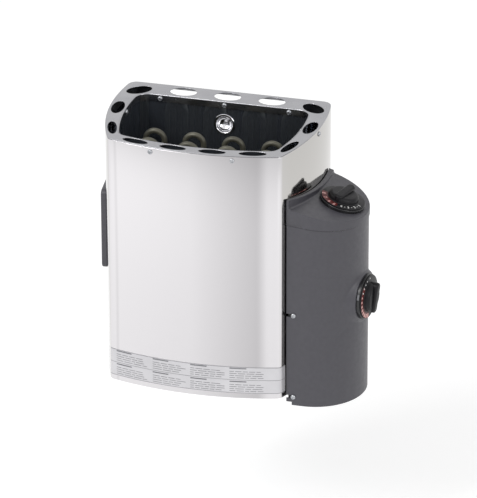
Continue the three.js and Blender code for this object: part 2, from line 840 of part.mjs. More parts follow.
function wallBracket() {
  const lipTop = railTop - railSheet - seatGap;
  const base = lipTop - bracketLip - bracketSheet;
  const section = [
    [hookIn - bracketSheet, base],
    [wallGap - bracketSheet, base],
    [wallGap - bracketSheet, lipTop - bracketHeight],
    [wallGap, lipTop - bracketHeight],
    [wallGap, base + bracketSheet],
    [hookIn, base + bracketSheet],
    [hookIn, lipTop],
    [hookIn - bracketSheet, lipTop],
  ].map(([y, z]) => new THREE.Vector2(y, z));
  return barAlongX(section, bracketWidth / 2);
}

function lockScrewLength() {
  const direction = new THREE.Vector3().setFromMatrixColumn(cupFrame, 2);
  const reach = backWallY(cupLevel) - (seatGap + 2 * railSheet);
  return reach / direction.y;
}

function addLock() {
  const group = new THREE.Group();
  group.applyMatrix4(cupFrame);
  heater.add(group);
  add("lock_cup", lockCup(), "polished", group);
  const bowlRadius = lockCupRadius - lockCupWall;
  const seat = 2 * seatGap - lockCupDepth * Math.sqrt(1 - (screwHeadRadius / bowlRadius) ** 2);
  const profile = [
    [0, -lockScrewLength()],
    [screwShankRadius, -lockScrewLength()],
    [screwShankRadius, seat],
    [screwHeadRadius, seat],
    [screwHeadRadius * screwShoulder, seat + screwHeadHeight * screwCrown],
    [0, seat + screwHeadHeight],
  ];
  add("lock_screw", turned(profile, 12), "polished", group);
}

function addSpacers() {
  [-1, 1].forEach((hand) => {
    const x = hand * (casingPlan.rear.x - casingRearFlange / 2);
    const stub = rod(spacerRadius, seatGap, wallGap, 16).rotateX(-Math.PI / 2).translate(x, 0, spacerHeight);
    add(`wall_spacer_${hand > 0 ? "right" : "left"}`, stub, "black");
  });
}

function blankCover() {
  const at = sideFrame(casingPlan, 0, -blankDepth, blankCentre, -1);
  const face = (inset) =>
    roundedRectangle(blankWidth / 2 - inset, blankHeight / 2 - inset, blankCorner - inset);
  const shell = solid(prism(face(0), -blankStand, blankStand).applyMatrix4(at));
  const hollow = solid(prism(face(blankWall), -2 * blankStand, blankStand - blankWall).applyMatrix4(at));
  const wall = solid(prism(outline(casingPlan, wallClear), -1, casingHeight));
  return shell.subtract(hollow).subtract(wall);
}

// Control box: a D plan, grown by grow, that starts at the casing's front edge.
function boxOutline(grow, edge) {
  const r = boxRadius + grow;
  return [
    new THREE.Vector2(edge, boxY - r),
    ...arc(boxX, boxY, r, -Math.PI / 2, Math.PI / 2, 20),
    new THREE.Vector2(edge, boxY + r),
  ];
}

const boxEdge = boxX - boxReach;
const deepEdge = boxEdge - boxReach;
const casingBeside = (grow) => solid(prism(outline(casingPlan, grow), -casingHeight, 2 * casingHeight));
const boxPrism = (grow, edge, low, high) => solid(prism(boxOutline(grow, edge), low, high));

// Everything above a level that is counted square to the tilted lid, or to its seam.
function above(at, level) {
  const size = 4 * boxRadius;
  const slab = new THREE.BoxGeometry(size, size, size).translate(0, 0, level + size / 2);
  return solid(slab.applyMatrix4(at));
}

const aboveLid = (level) => above(lidFrame, level);
const aboveSeam = (level) => above(seamFrame, level);

function boss(inset) {
  const slope = (bossFootRadius - bossTopRadius) / bossRun;
  const top = -inset;
  const foot = -bossRun - inset;
  const narrow = inset * Math.hypot(1, slope) - inset * slope;
  const frustum = turned(
    [
      [0, foot],
      [bossFootRadius - narrow, foot],
      [bossTopRadius - narrow, top],
      [0, top],
    ],
    26,
  );
  return solid(frustum.applyMatrix4(thermostatFrame));
}

function boxCover() {
  const high = lidHeight + boxRadius;
  const outer = boxPrism(0, boxEdge, boxFoot, high).add(boss(0));
  const inner = boxPrism(-coverWall, deepEdge, boxFoot - 1, high + 1).add(boss(bossPlate));
  const hole = rod(bushRadius + holeGap, -bossRun, bossRun).applyMatrix4(thermostatFrame);
  const slotX = boxEdge + slotDepth;
  const slots = coverScrewHeights.flatMap((height) => {
    const half = slotHeight / 2;
    const end = rod(half, 0, 2 * boxRadius, 10).rotateX(Math.PI / 2).translate(slotX, boxY, height);
    return [block(deepEdge, slotX, boxY - 2 * boxRadius, boxY, height - half, height + half), end];
  });
  const notchTop = boxFoot + notchHeight;
  const notch = block(deepEdge, boxEdge + notchWidth, boxY - 2 * boxRadius, boxY, 2 * boxFoot, notchTop);
  const lidRoom = aboveSeam(-seatGap);
  return cut(outer, [inner, lidRoom, casingBeside(wallClear), hole, ...slots, notch]);
}

function boxLid() {
  const low = lidHeight - 2 * boxRadius;
  const high = lidHeight + 2 * boxRadius;
  const registerGrow = -(coverWall + fitGap);
  const body = boxPrism(lidOverhang, boxEdge, low, high).subtract(aboveLid(0));
  const skirt = body.intersect(aboveSeam(0));
  const plug = boxPrism(registerGrow, boxEdge, low, high)
    .intersect(aboveSeam(-lidRegister))
    .subtract(aboveLid(-lidTop / 2));
  const hollow = boxPrism(registerGrow - lidRegisterWall, boxEdge + lidRegisterWall, low, high).subtract(
    aboveLid(-lidTop),
  );
  const fin = solid(prism(outline(casingPlan, wallClear + lidLipThickness), low, high))
    .intersect(boxPrism(lidOverhang, boxEdge, low, high))
    .intersect(aboveLid(-lidTop / 2))
    .subtract(aboveLid(lidLip));
  const hole = rod(bushRadius + holeGap, -2 * lidTop, 2 * lidTop).applyMatrix4(timerFrame);
  const chassisRoom = casingBeside(wallClear + chassisSheet + fitGap).subtract(aboveLid(-lidTop));
  const tools = [casingBeside(wallClear), chassisRoom, hole];
  return cut(skirt.add(plug).subtract(hollow).add(fin), tools);
}

const chassisGrow = -(coverWall + fitGap);

function boxChassis() {
  const low = boxFoot + notchHeight + fitGap;
  const inner = chassisGrow - chassisSheet;
  const webEdge = boxEdge + coverWall + fitGap;
  const full = boxPrism(chassisGrow, webEdge, low, lidHeight + boxRadius);
  const ring = full.subtract(boxPrism(inner, webEdge + chassisSheet, low - 1, lidHeight + boxRadius + 1));
  const flangeZone = block(deepEdge, webEdge + chassisFlange, boxY - boxRadius, boxY, low - 1, casingHeight);
  const backX = sideX(casingPlan, boxY + boxRadius);
  const rearZone = block(deepEdge, backX + chassisFlange, boxY, boxY + boxRadius, low - 1, casingHeight);
  const strip = casingBeside(wallClear + chassisSheet).intersect(full);
  const made = strip
    .add(ring.intersect(solid(flangeZone)))
    .add(ring.intersect(solid(rearZone)))
    .subtract(casingBeside(wallClear))
    .subtract(aboveSeam(-lidRegister - fitGap));
  return cut(made, [...screwHoles.chassis, ...leadHoles()]);
}

const floorTop = boxFoot + boxFloorRaise + boxFloorSheet + notchHeight;
const floorLow = floorTop - boxFloorSheet;
const limiterAt = [boxX + limiterX, boxY - limiterSpread];
const glandAt = [boxX + glandX, boxY + glandSpread];

function boxFloor() {
  const grow = chassisGrow - chassisSheet - fitGap;
  const edge = boxEdge - grow;
  const hole = ([x, y], radius) => arc(x, y, radius, 0, 2 * Math.PI, 12).slice(0, -1);
  const holes = [hole(limiterAt, bushRadius + holeGap), hole(glandAt, glandThread + holeGap)];
  const plate = pierced(boxOutline(grow, edge), floorLow, floorTop, holes);
  return plate.subtract(casingBeside(wallClear + chassisSheet + fitGap));
}

function addLimiter() {
  const group = new THREE.Group();
  group.position.set(limiterAt[0], limiterAt[1], floorTop);
  heater.add(group);
  const low = -boxFloorSheet - bushRise;
  const boreTop = buttonIn + buttonTravel + fitGap - boxFloorSheet;
  const body = turned(
    [
      [buttonRadius + holeGap, low],
      [bushRadius, low],
      [bushRadius, seatGap],
      [limiterRadius, seatGap],
      [limiterRadius, limiterHeight],
      [0, limiterHeight],
      [0, boreTop],
      [buttonRadius + holeGap, boreTop],
      [buttonRadius + holeGap, low],
    ],
    12,
  );
  add("limiter_unit", body, "ceramic", group);
  const tip = low - buttonOut;
  const button = turned(
    [
      [0, tip],
      [buttonRadius - buttonEdge, tip],
      [buttonRadius, tip + buttonEdge],
      [buttonRadius, buttonIn - boxFloorSheet],
      [0, buttonIn - boxFloorSheet],
    ],
    12,
  );
  add("limiter_button", button, "red", group);
}

function addGland() {
  const group = new THREE.Group();
  group.position.set(glandAt[0], glandAt[1], floorLow);
  heater.add(group);
  const bore = (radius) => arc(0, 0, radius, 0, 2 * Math.PI, 12).slice(0, -1);
  const head = pierced(hexagon(glandRadius), -seatGap - glandHeight / 2, -seatGap, [bore(glandBore)]);
  const cap = solid(
    turned(
      [
        [glandBore, -glandHeight],
        [glandNose, -glandHeight],
        [glandShoulder, -glandHeight / 2],
        [glandShoulder, -glandHeight / 2 + joinDepth],
        [glandBore, -glandHeight / 2 + joinDepth],
        [glandBore, -glandHeight],
      ],
      12,
    ),
  );
  const threadTop = boxFloorSheet + seatGap + glandNutHeight + glandThreadOut;
  const thread = pierced(bore(glandThread), -seatGap - joinDepth, threadTop, [bore(glandBore)]);
  add("cable_gland", head.add(cap).add(thread), "black", group);
  const nutLow = boxFloorSheet + seatGap;
  const nut = pierced(hexagon(glandRadius), nutLow, nutLow + glandNutHeight, [bore(glandThread + holeGap)]);
  add("gland_nut", nut, "black", group);
}

// Dials: the same bezel, knob and shaft on both, in frames with z out of the panel.
function bezel() {
  const low = seatGap;
  const high = low + bezelHeight;
  const bore = bushRadius + holeGap;
  return turned(
    [
      [bore, low],
      [bezelRadius, low],
      [bezelRadius, high - bezelEdge],
      [bezelRadius - bezelEdge, high],
      [bore, high],
      [bore, low],
    ],
    26,
  );
}

const skirtLow = seatGap + bezelHeight + fitGap;
const skirtHigh = skirtLow + skirtThickness;

function knob() {
  const bore = shaftRadius + holeGap;
  const boreTop = bushRise + seatGap + shaftLength + seatGap;
  const body = solid(
    turned(
      [
        [bore, skirtLow],
        [skirtRadius, skirtLow],
        [skirtRadius, skirtHigh - skirtEdge],
        [skirtRadius - skirtEdge, skirtHigh],
        [hubRadius, skirtHigh],
        [hubShoulderRadius, skirtHigh + hubShoulder],
        [hubTopRadius, skirtHigh + hubHeight],
        [bore, skirtHigh + hubHeight],
        [bore, skirtLow],
      ],
      24,
    ),
  );
  const half = Math.PI / 2;
  const run = (gripLength - gripWidth) / 2;
  const round = gripWidth / 2;
  const plan = [...arc(run, 0, round, -half, half, 5), ...arc(-run, 0, round, half, 3 * half, 5)];
  const low = skirtHigh + hubHeight / 2;
  const grip = new THREE.ExtrudeGeometry(new THREE.Shape(plan), {
    depth: skirtHigh + gripHeight - low - gripBevel,
    bevelEnabled: true,
    bevelThickness: gripBevel,
    bevelSize: gripBevel,
    bevelOffset: -gripBevel,
    bevelSegments: 2,
  }).translate(0, 0, low);
  const clipped = solid(grip).subtract(solid(rod(bore, 0, boreTop)));
  return body.add(clipped);
}

function addDial(name, at, unit, rest) {
  const panel = new THREE.Group();
  panel.applyMatrix4(at);
  heater.add(panel);
  add(`${name}_unit`, unit, "ceramic", panel);
  add(`${name}_bezel`, bezel(), "graphite", panel);
  const shaftLow = bushRise + seatGap;
  add(`${name}_shaft`, rod(shaftRadius, shaftLow, shaftLow + shaftLength), "zinc", panel);
  add(`${name}_knob`, knob(), "black", panel).rotation.z = rest;
}

function timerUnit() {
  const high = -lidTop - seatGap;
  const half = timerBody / 2;
  const body = solid(prism(roundedRectangle(half, half, timerCorner), high - timerBodyHeight, high));
  return body.add(solid(rod(bushRadius, high - joinDepth, bushRise)));
}

function thermostatUnit() {
  const high = -bossPlate - seatGap;
  const body = solid(rod(thermostatBodyRadius, high - thermostatBodyHeight, high, 24));
  return body.add(solid(rod(bushRadius, high - joinDepth, bushRise)));
}

function terminalBlock() {
  const half = terminalWidth / 2;
  const pitch = terminalWidth / terminalBays;
  const body = solid(block(-half, half, -terminalHeight / 2, terminalHeight / 2, seatGap, terminalDepth));
  const wells = Array.from({ length: terminalBays }, (_, i) =>
    rod(terminalWell, terminalDepth / 2, 2 * terminalDepth, 8).translate(-half + (i + 0.5) * pitch, 0, 0),
  );
  return cut(body, wells);
}

function alongFrame(at, points) {
  return points.map(([x, y, z]) => new THREE.Vector3(x, y, z).applyMatrix4(at));
}

function leadSleeve() {
  const rise = terminalLevel - sleeveLevel;
  const points = alongFrame(sleeveFrame, [
    [0, rise - terminalHeight / 2 - seatGap, sleeveStand],
    [0, rise / 3, sleeveStand],
    [0, sleeveRadius / 2, sleeveStand / 2 + sleeveRadius],
    [0, 0, sleeveRadius],
    [0, 0, -sleeveRadius],
    [0, 0, -sleeveReach],
  ]);
  return tubeInSpace(new THREE.CatmullRomCurve3(points, false, "centripetal"), sleeveRadius, 8, 14);
}

function capillary() {
  const depth = -(casingSheet + bulbRadius + wallClear);
  const bulbFoot = casingHeight - rimSkirt - fitGap - capillaryLevel - 2 * bulbLength;
  const unitBack = -bossPlate - 2 * seatGap - thermostatBodyHeight;
  const fromUnit = alongFrame(thermostatFrame, [
    [0, thermostatBodyRadius / 2, unitBack],
    [0, thermostatBodyRadius / 2, unitBack - capillaryStand],
  ]);
  const throughWall = alongFrame(capillaryFrame, [
    [0, 0, capillaryStand],
    [0, 0, bulbRadius],
    [0, 0, -casingSheet],
    [0, bulbRadius, depth],
    [0, bulbFoot, depth],
  ]);
  const curve = new THREE.CatmullRomCurve3([...fromUnit, ...throughWall], false, "centripetal");
  const tube = solid(tubeInSpace(curve, capillaryRadius, 5, 24));
  const bulb = rod(bulbRadius, bulbFoot - joinDepth, bulbFoot + bulbLength, 8).rotateX(-Math.PI / 2);
  return tube.add(solid(bulb.translate(0, 0, depth).applyMatrix4(capillaryFrame)));
}

add("outer_casing", outerCasing(), "polished");
add("top_rim", topRim(), "satin");
add("stone_liner", stoneLiner(), "dark");
addLock();
addElements();
add("element_carrier", elementCarrier(), "zinc");
add("stone_grate", stoneGrate(), "satin");
add("foot_plate", footPlate(), "zinc");
add("rear_rail", rearRail(), "zinc");
add("wall_bracket", wallBracket(), "zinc");
addSpacers();
add("left_blank_cover", blankCover(), "graphite");
add("box_cover", boxCover(), "graphite");
add("box_lid", boxLid(), "graphite");
add("box_chassis", boxChassis(), "black");
add("box_floor", boxFloor(), "zinc");
addLimiter();
addGland();
addDial("timer", timerFrame, timerUnit(), timerRest);
addDial("thermostat", thermostatFrame, thermostatUnit(), thermostatRest);
const terminalFrame = sideFrame(casingPlan, wallClear + chassisSheet, boxY, terminalLevel);
add("terminal_block", geometryOf(terminalBlock()).applyMatrix4(terminalFrame), "ceramic");
add("lead_sleeve", leadSleeve(), "fibre");
add("thermostat_capillary", capillary(), "copper");

const bracketMiddle = railTop - railSheet - seatGap - bracketHeight / 2;
heater.position.set(0, -wallGap, -bracketMiddle);

export default heater;
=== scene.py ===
import math

import bpy
import numpy as np
from mathutils import Matrix, Vector


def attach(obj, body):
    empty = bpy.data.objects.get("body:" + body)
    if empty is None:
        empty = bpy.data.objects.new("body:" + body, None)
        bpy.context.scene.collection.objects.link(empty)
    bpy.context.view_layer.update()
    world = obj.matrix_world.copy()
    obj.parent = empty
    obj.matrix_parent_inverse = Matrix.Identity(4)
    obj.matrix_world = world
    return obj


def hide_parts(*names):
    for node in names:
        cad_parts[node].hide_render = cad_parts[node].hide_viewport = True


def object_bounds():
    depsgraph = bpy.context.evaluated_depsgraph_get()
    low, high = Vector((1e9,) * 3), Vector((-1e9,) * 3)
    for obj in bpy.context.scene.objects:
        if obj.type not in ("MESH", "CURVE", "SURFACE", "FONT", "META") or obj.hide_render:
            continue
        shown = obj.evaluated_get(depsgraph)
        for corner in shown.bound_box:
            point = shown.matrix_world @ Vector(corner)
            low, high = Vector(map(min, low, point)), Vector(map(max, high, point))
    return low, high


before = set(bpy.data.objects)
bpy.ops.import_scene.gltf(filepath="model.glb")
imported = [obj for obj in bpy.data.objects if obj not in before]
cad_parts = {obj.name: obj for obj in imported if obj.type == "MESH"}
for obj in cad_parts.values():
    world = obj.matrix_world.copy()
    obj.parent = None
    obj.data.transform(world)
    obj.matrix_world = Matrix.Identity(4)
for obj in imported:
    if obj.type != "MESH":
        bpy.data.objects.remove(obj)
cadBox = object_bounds()
bpy.context.scene.view_settings.view_transform = "Standard"

# Lengths are in millimetres from the casing's foot and back edge, and the heater hangs at this place.
mm = 0.001
hang = np.array((0.0, -25.0, -293.2))
quarterTurn, halfTurn, fullTurn = math.pi / 2, math.pi, 2 * math.pi


# An sRGB hex colour made linear.
def linear(text):
    parts = [int(text[i:i + 2], 16) / 255 for i in (1, 3, 5)]
    return [c / 12.92 if c <= 0.04045 else ((c + 0.055) / 1.055) ** 2.4 for c in parts] + [1.0]


# Adds one node with its settings, its values or links, and a colour ramp's stops where some are given.
def addNode(tree, kind, inputs=None, stops=(), **settings):
    made = tree.nodes.new(kind)
    for key, value in settings.items():
        setattr(made, key, value)
    for key, value in (inputs or {}).items():
        if isinstance(value, bpy.types.NodeSocket):
            tree.links.new(value, made.inputs[key])
        else:
            made.inputs[key].default_value = value
    points = made.color_ramp.elements if stops else ()
    while len(points) < len(stops):
        points.new(0.5)
    for point, (place, colour) in zip(points, stops):
        point.position, point.color = place, colour
    return made


# Cloudy noise whose patches are about size millimetres wide; Object coordinates are in metres.
def clouds(tree, size, detail, stretch):
    place = addNode(tree, "ShaderNodeTexCoord").outputs["Object"]
    mapped = addNode(tree, "ShaderNodeMapping", {"Vector": place, "Scale": stretch}).outputs["Vector"]
    made = addNode(tree, "ShaderNodeTexNoise", {"Vector": mapped, "Scale": 1 / (size * mm), "Detail": detail})
    return made.outputs["Fac"]


# The surface grain is a fourteenth of a patch: coarser than real grit, which is finer than a pixel (1.45 mm).
finish = dict(low=0.3, high=0.7, detail=5.0, finer=14.0, grainDetail=3.0, grainStrength=0.35, leastRough=0.02)


# A surface with patches of colour and gloss. Colours are a main and a darker one, or a function that gives a tone.
def material(name, colours, roughness, metallic, patch, bump=0.0, spread=0.05, specular=0.5, stretch=(1, 1, 1)):
    made = bpy.data.materials.new(name)
    made.use_nodes = True
    tree = made.node_tree
    shader = tree.nodes["Principled BSDF"]
    shader.inputs["Metallic"].default_value = metallic
    shader.inputs["Specular IOR Level"].default_value = specular
    patches = {"Fac": clouds(tree, patch, finish["detail"], stretch)}
    low, high = finish["low"], finish["high"]
    if callable(colours):
        tone = colours(tree)
    else:
        stops = [(low, linear(colours[1])), (high, linear(colours[0]))]
        tone = addNode(tree, "ShaderNodeValToRGB", patches, stops).outputs["Color"]
    tree.links.new(tone, shader.inputs["Base Color"])
    dull, glossy = roughness + spread, max(roughness - spread, finish["leastRough"])
    gloss = addNode(tree, "ShaderNodeValToRGB", patches, [(low, (dull,) * 3 + (1,)), (high, (glossy,) * 3 + (1,))])
    tree.links.new(gloss.outputs["Color"], shader.inputs["Roughness"])
    if bump:
        grain = clouds(tree, patch / finish["finer"], finish["grainDetail"], stretch)
        bumped = addNode(tree, "ShaderNodeBump", {"Height": grain, "Strength": finish["grainStrength"],
                                                  "Distance": bump * mm})
        tree.links.new(bumped.outputs["Normal"], shader.inputs["Normal"])
    return made


# Painted reflection and shade on the casing, by how far a face looks to the left (-1) or the right (1): darker sides, a
# darker band on the right of the front, and a thin dark line of painted shade where the bend starts.
paintedCasingReflection = [(-0.9, "#C3C1BF"), (-0.6, "#CFCDCF"), (-0.263, "#CFCDCF"), (-0.259, "#C0BEC0"), (-0.255, "#CFCDCF"),
               (0.0, "#C9C7C9"), (0.215, "#B0AEB0"), (0.245, "#CBC9CB"), (0.5, "#CFCDCF"), (0.8, "#C8C6C7"),
               (0.93, "#BFBDBA")]


# Painted reflection: each face of the casing takes its colour from the way it looks, along the ramp of painted tones.
def paintedReflectionByFacing(tree):
    normal = addNode(tree, "ShaderNodeNewGeometry").outputs["Normal"]
    across = addNode(tree, "ShaderNodeSeparateXYZ", {"Vector": normal}).outputs["X"]
    place = addNode(tree, "ShaderNodeMapRange", {"Value": across, "From Min": -1.0, "From Max": 1.0})
    stops = [(0.5 + 0.5 * turn, linear(colour)) for turn, colour in paintedCasingReflection]
    return addNode(tree, "ShaderNodeValToRGB", {"Fac": place.outputs["Result"]}, stops).outputs["Color"]


# The rim's skirt is pale where the open back lights it, and dim where it stands between the sheets.
skirtTone = dict(pale="#C6C6C8", dim="#2C2D30", middle=(100.0, 94.0), behind=(-45.0, -35.0))


def openBackTone(tree):
    place = addNode(tree, "ShaderNodeTexCoord").outputs["Object"]
    parts = addNode(tree, "ShaderNodeSeparateXYZ", {"Vector": place})
    across = addNode(tree, "ShaderNodeMath", {0: parts.outputs["X"]}, operation="ABSOLUTE").outputs[0]
    shares = []
    for value, (start, end) in ((across, skirtTone["middle"]), (parts.outputs["Y"], skirtTone["behind"])):
        made = addNode(tree, "ShaderNodeMapRange", {"Value": value, "From Min": start * mm, "From Max": end * mm})
        shares.append(made.outputs["Result"])
    lit = addNode(tree, "ShaderNodeMath", {0: shares[0], 1: shares[1]}, operation="MULTIPLY").outputs[0]
    stops = [(0.0, linear(skirtTone["dim"])), (1.0, linear(skirtTone["pale"]))]
    return addNode(tree, "ShaderNodeValToRGB", {"Fac": lit}, stops).outputs["Color"]


# Colours, roughness, metallic, patch width in mm, bump depth in mm, spread of roughness.
looks = {
    # Stainless sheet, rolled and buffed: a bright soft mirror, with painted reflection and shade that change its tone
    # with the bend of the sheet.
    "polished": material("polished_steel_painted_reflection", paintedReflectionByFacing, 0.07, 1.0, 166.7, 0.0, 0.02, stretch=(1, 1, 0.1)),
    # Stainless sheet, finely blasted: even grey with a broad highlight.
    "satin": material("satin_steel", ("#AAAAAD", "#A1A1A5"), 0.24, 1.0, 33.3, 0.02, 0.04),
    # Stainless sheet, polished and darkened by heat: a dim mirror that doubles the elements.
    "chamber": material("chamber_steel", ("#949BA6", "#8A919C"), 0.06, 0.92, 333.3, 0.0, 0.01),
    # Drawn heater tube, dulled by glowing: olive grey, half matt.
    "element": material("element_tube", ("#5E5C50", "#4C4A40"), 0.42, 0.35, 16.7, 0.05, 0.06),
    # Zinc-plated steel, barrel plated: cool grey, a little cloudy.
    "zinc": material("zinc_plate", ("#B9BBBE", "#A4A6AA"), 0.36, 1.0, 25.0, 0.02),
    # Pressed steel, nickel plated: nearly white, sharp glints.
    "bright": material("bright_steel", ("#E6E6E8", "#D8D8DB"), 0.12, 1.0, 50.0, 0.0, 0.03),
    # Grey polyamide, moulded in an eroded tool: even and matt, a fine grain in the highlights.
    "graphite": material("graphite_moulding", ("#434248", "#403F45"), 0.42, 0.0, 6.25, 0.05),
    # Black polyamide, moulded in a polished tool: half gloss.
    "black": material("black_moulding", ("#151518", "#0F0F12"), 0.28, 0.0, 11.1, 0.06),
    # Black phenolic, moulded and handled: deep black, only a faint sheen.
    "knob": material("knob_moulding", ("#111014", "#0C0B0F"), 0.42, 0.0, 11.1, 0.06, specular=0.25),
    # Steel chassis plate, made black as painted shade: the dark line in the gap beside the cover and the dark ground
    # behind the open slots.
    "gap": material("dark_chassis_painted_shade", ("#17171A", "#101012"), 0.6, 0.0, 16.7, 0.03),
    # Steatite and pale thermoset, pressed: warm white, matt.
    "pale": material("pale_insulator", ("#E4DDD0", "#D6CFC1"), 0.6, 0.0, 16.7, 0.05),
    # Glass yarn, braided: cream and rough.
    "sleeve": material("glass_sleeve", ("#D9D4C4", "#C7C2B1"), 0.85, 0.0, 3.33, 0.3),
    # Copper tube, drawn: warm, with a soft shine.
    "copper": material("capillary_copper", ("#B87A4B", "#9C6238"), 0.34, 1.0, 16.7, 0.02),
    # Red polyamide, moulded: plain and half gloss.
    "button": material("red_button", ("#B5302A", "#A32620"), 0.35, 0.0, 16.7, 0.02, 0.04),
    # Inks, printed on the dials: flat dark red, pale pink and white.
    "scaleRed": material("scale_red", ("#5A1512", "#4C0F0D"), 0.5, 0.0, 12.5, 0.0, 0.04),
    "markPink": material("mark_pink", ("#E2B4B0", "#D8A7A2"), 0.55, 0.0, 12.5, 0.0, 0.04),
    "markWhite": material("mark_white", ("#E6E6E4", "#DADAD8"), 0.55, 0.0, 12.5, 0.0, 0.04),
    # Aluminium foil, rolled and lacquered: dull silver, a little darker than the casing.
    "foil": material("foil_strip", ("#C9C8CB", "#C0BFC2"), 0.42, 0.6, 40.0, 0.0, 0.04),
    # Folded stainless, seen only through the air holes: the tone stands for the light that gets there.
    "skirt": material("skirt_steel", openBackTone, 0.5, 0.3, 33.3, 0.02, 0.04),
    # Grey ink, printed on the foil: flat.
    "rule": material("foil_rule", ("#77777B", "#6C6C70"), 0.6, 0.0, 16.7, 0.0, 0.04),
}
print("materials done")


# Puts points and faces into a mesh at the place where the heater hangs.
def meshPiece(name, points, faces, look, body="heater", smooth=40.0, replaces=()):
    mesh = bpy.data.meshes.new(name)
    spots = (np.asarray(points, float).reshape(-1, 3) + hang) * mm
    mesh.from_pydata(spots.tolist(), [], [list(map(int, loop)) for loop in faces])
    mesh.validate()
    return finishPiece(name, mesh, look, body, smooth, replaces)


def finishPiece(name, mesh, look, body="heater", smooth=40.0, replaces=()):
    mesh.materials.clear()
    mesh.materials.append(looks[look])
    mesh.polygons.foreach_set("use_smooth", [True] * len(mesh.polygons))
    mesh.set_sharp_from_angle(angle=math.radians(smooth))
    piece = bpy.data.objects.new(name, mesh)
    bpy.context.scene.collection.objects.link(piece)
    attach(piece, body)
    if replaces:
        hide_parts(*replaces)
    return piece


# The mesh of a curve or text, which is then removed.
def meshOf(curve):
    holder = bpy.data.objects.new("outline", curve)
    bpy.context.scene.collection.objects.link(holder)
    mesh = bpy.data.meshes.new_from_object(holder.evaluated_get(bpy.context.evaluated_depsgraph_get()))
    bpy.data.objects.remove(holder)
    return mesh


# Quads between the neighbours in a grid of points, closed round its rows or columns where asked.
def gridFaces(rows, columns, closeRows=False, closeColumns=False):
    i = np.arange(rows if closeRows else rows - 1)[:, None]
    j = np.arange(columns if closeColumns else columns - 1)
    here, there, beside = i * columns, (i + 1) % rows * columns, (j + 1) % columns
    return np.stack([here + j, here + beside, there + beside, there + j], -1).reshape(-1, 4).tolist()


# Quads between two closed loops of point numbers.
def joinLoops(first, second):
    return np.stack([first, np.roll(first, -1), np.roll(second, -1), second], 1).tolist()


# Faces of a slab between two equal outlines.
def slabFaces(count):
    low, high = np.arange(count), np.arange(count, 2 * count)
    return [low[::-1].tolist(), high.tolist()] + joinLoops(low, high)


# Faces of stacked rings with the last one capped, and the first one too where asked.
def cappedRings(rows, sides, foot=True):
    first = list(range(sides))
    caps = [first[::-1]] if foot else []
    return gridFaces(rows, sides, False, True) + caps + [[(rows - 1) * sides + i for i in first]]


# Faces of a closed section carried along an open run, with both ends capped.
def cappedRun(rows, columns):
    start = [i * columns for i in range(rows)]
    return gridFaces(rows, columns, True) + [start, [i + columns - 1 for i in start][::-1]]


# Several sets of points and faces as one.
def merge(*parts):
    points, faces = [], []
    for part, loops in parts:
        base = len(points)
        points.extend(np.asarray(part, float).reshape(-1, 3).tolist())
        faces.extend([tuple(base + i for i in loop) for loop in loops])
    return points, faces


# Points at even angles along an arc.
def arcPoints(x, y, radius, start, end, steps):
    a = np.linspace(start, end, steps + 1)
    return np.stack([x + radius * np.cos(a), y + radius * np.sin(a)], 1)


# A flat outline lifted to one level.
def atLevel(outline, z):
    return np.column_stack([outline, np.full(len(outline), z)])


# A closed profile of radius and height, turned once round the z axis.
def lathe(profile, sides=64):
    a = np.linspace(0, fullTurn, sides, endpoint=False)
    radius, height = np.array(profile, float).T[:, :, None]
    rings = np.stack([radius * np.cos(a), radius * np.sin(a), height + 0 * a], -1)
    return rings.reshape(-1, 3), gridFaces(len(profile), sides, True, True)


# Outer plan of the casing and plan of the rim's opening, each made of arcs that meet in tangents.
casing = dict(height=380.0, halfWidth=155.5, depth=219.0, widestAt=66.0, sideRadius=320.0, frontRadius=440.0,
              backCorner=14.0, frontCorner=11.0, back=0.0, sheet=1.2, flange=20.0, top=378.5)
opening = dict(halfWidth=129.3, depth=198.5, widestAt=85.0, sideRadius=313.0, frontRadius=420.0,
               backCorner=18.0, frontCorner=15.0, back=37.0)
planSteps = dict(rear=14, side=60, nose=14, front=40, back=60)


# Centres of the side, the front, the rear corner and the front corner. Each corner circle lies inside the arcs that
# it touches, so its centre is where circles of the differences of the radii meet.
def centres(plan):
    side = np.array((plan["halfWidth"] - plan["sideRadius"], -plan["widestAt"]))
    front = np.array((0.0, plan["frontRadius"] - plan["depth"]))
    rearY = -plan["back"] - plan["backCorner"]
    rearX = side[0] + math.sqrt((plan["sideRadius"] - plan["backCorner"]) ** 2 - (rearY - side[1]) ** 2)
    toSide, toFront = plan["sideRadius"] - plan["frontCorner"], plan["frontRadius"] - plan["frontCorner"]
    between = np.linalg.norm(front - side)
    line = (front - side) / between
    along = (toSide ** 2 - toFront ** 2 + between ** 2) / (2 * between)
    across = math.sqrt(toSide ** 2 - along ** 2)
    nose = side + along * line + across * np.array((line[1], -line[0]))
    return side, front, np.array((rearX, rearY)), nose


# Right half of a plan, from the rear corner round to the middle of the front, moved out by grow.
def halfPlan(plan, grow):
    side, front, rear, nose = centres(plan)
    rearAngle = math.atan2(rear[1] - side[1], rear[0] - side[0])
    noseAngle = math.atan2(nose[1] - side[1], nose[0] - side[0])
    frontAngle = math.atan2(nose[1] - front[1], nose[0] - front[0])
    arcs = ((rear, plan["backCorner"], quarterTurn, rearAngle, planSteps["rear"]),
            (side, plan["sideRadius"], rearAngle, noseAngle, planSteps["side"]),
            (nose, plan["frontCorner"], noseAngle, frontAngle, planSteps["nose"]),
            (front, plan["frontRadius"], frontAngle, -quarterTurn, planSteps["front"]))
    runs = [arcPoints(*centre, radius + grow, start, end, steps) for centre, radius, start, end, steps in arcs]
    return np.concatenate([runs[0]] + [run[1:] for run in runs[1:]])


# A half plan, its mirror image and the straight back between them.
def loopPlan(plan, grow):
    right = halfPlan(plan, grow)
    left = right[:-1][::-1] * (-1, 1)
    back = np.linspace(left[-1], right[0], planSteps["back"])[1:-1]
    return np.concatenate([right, left, back])


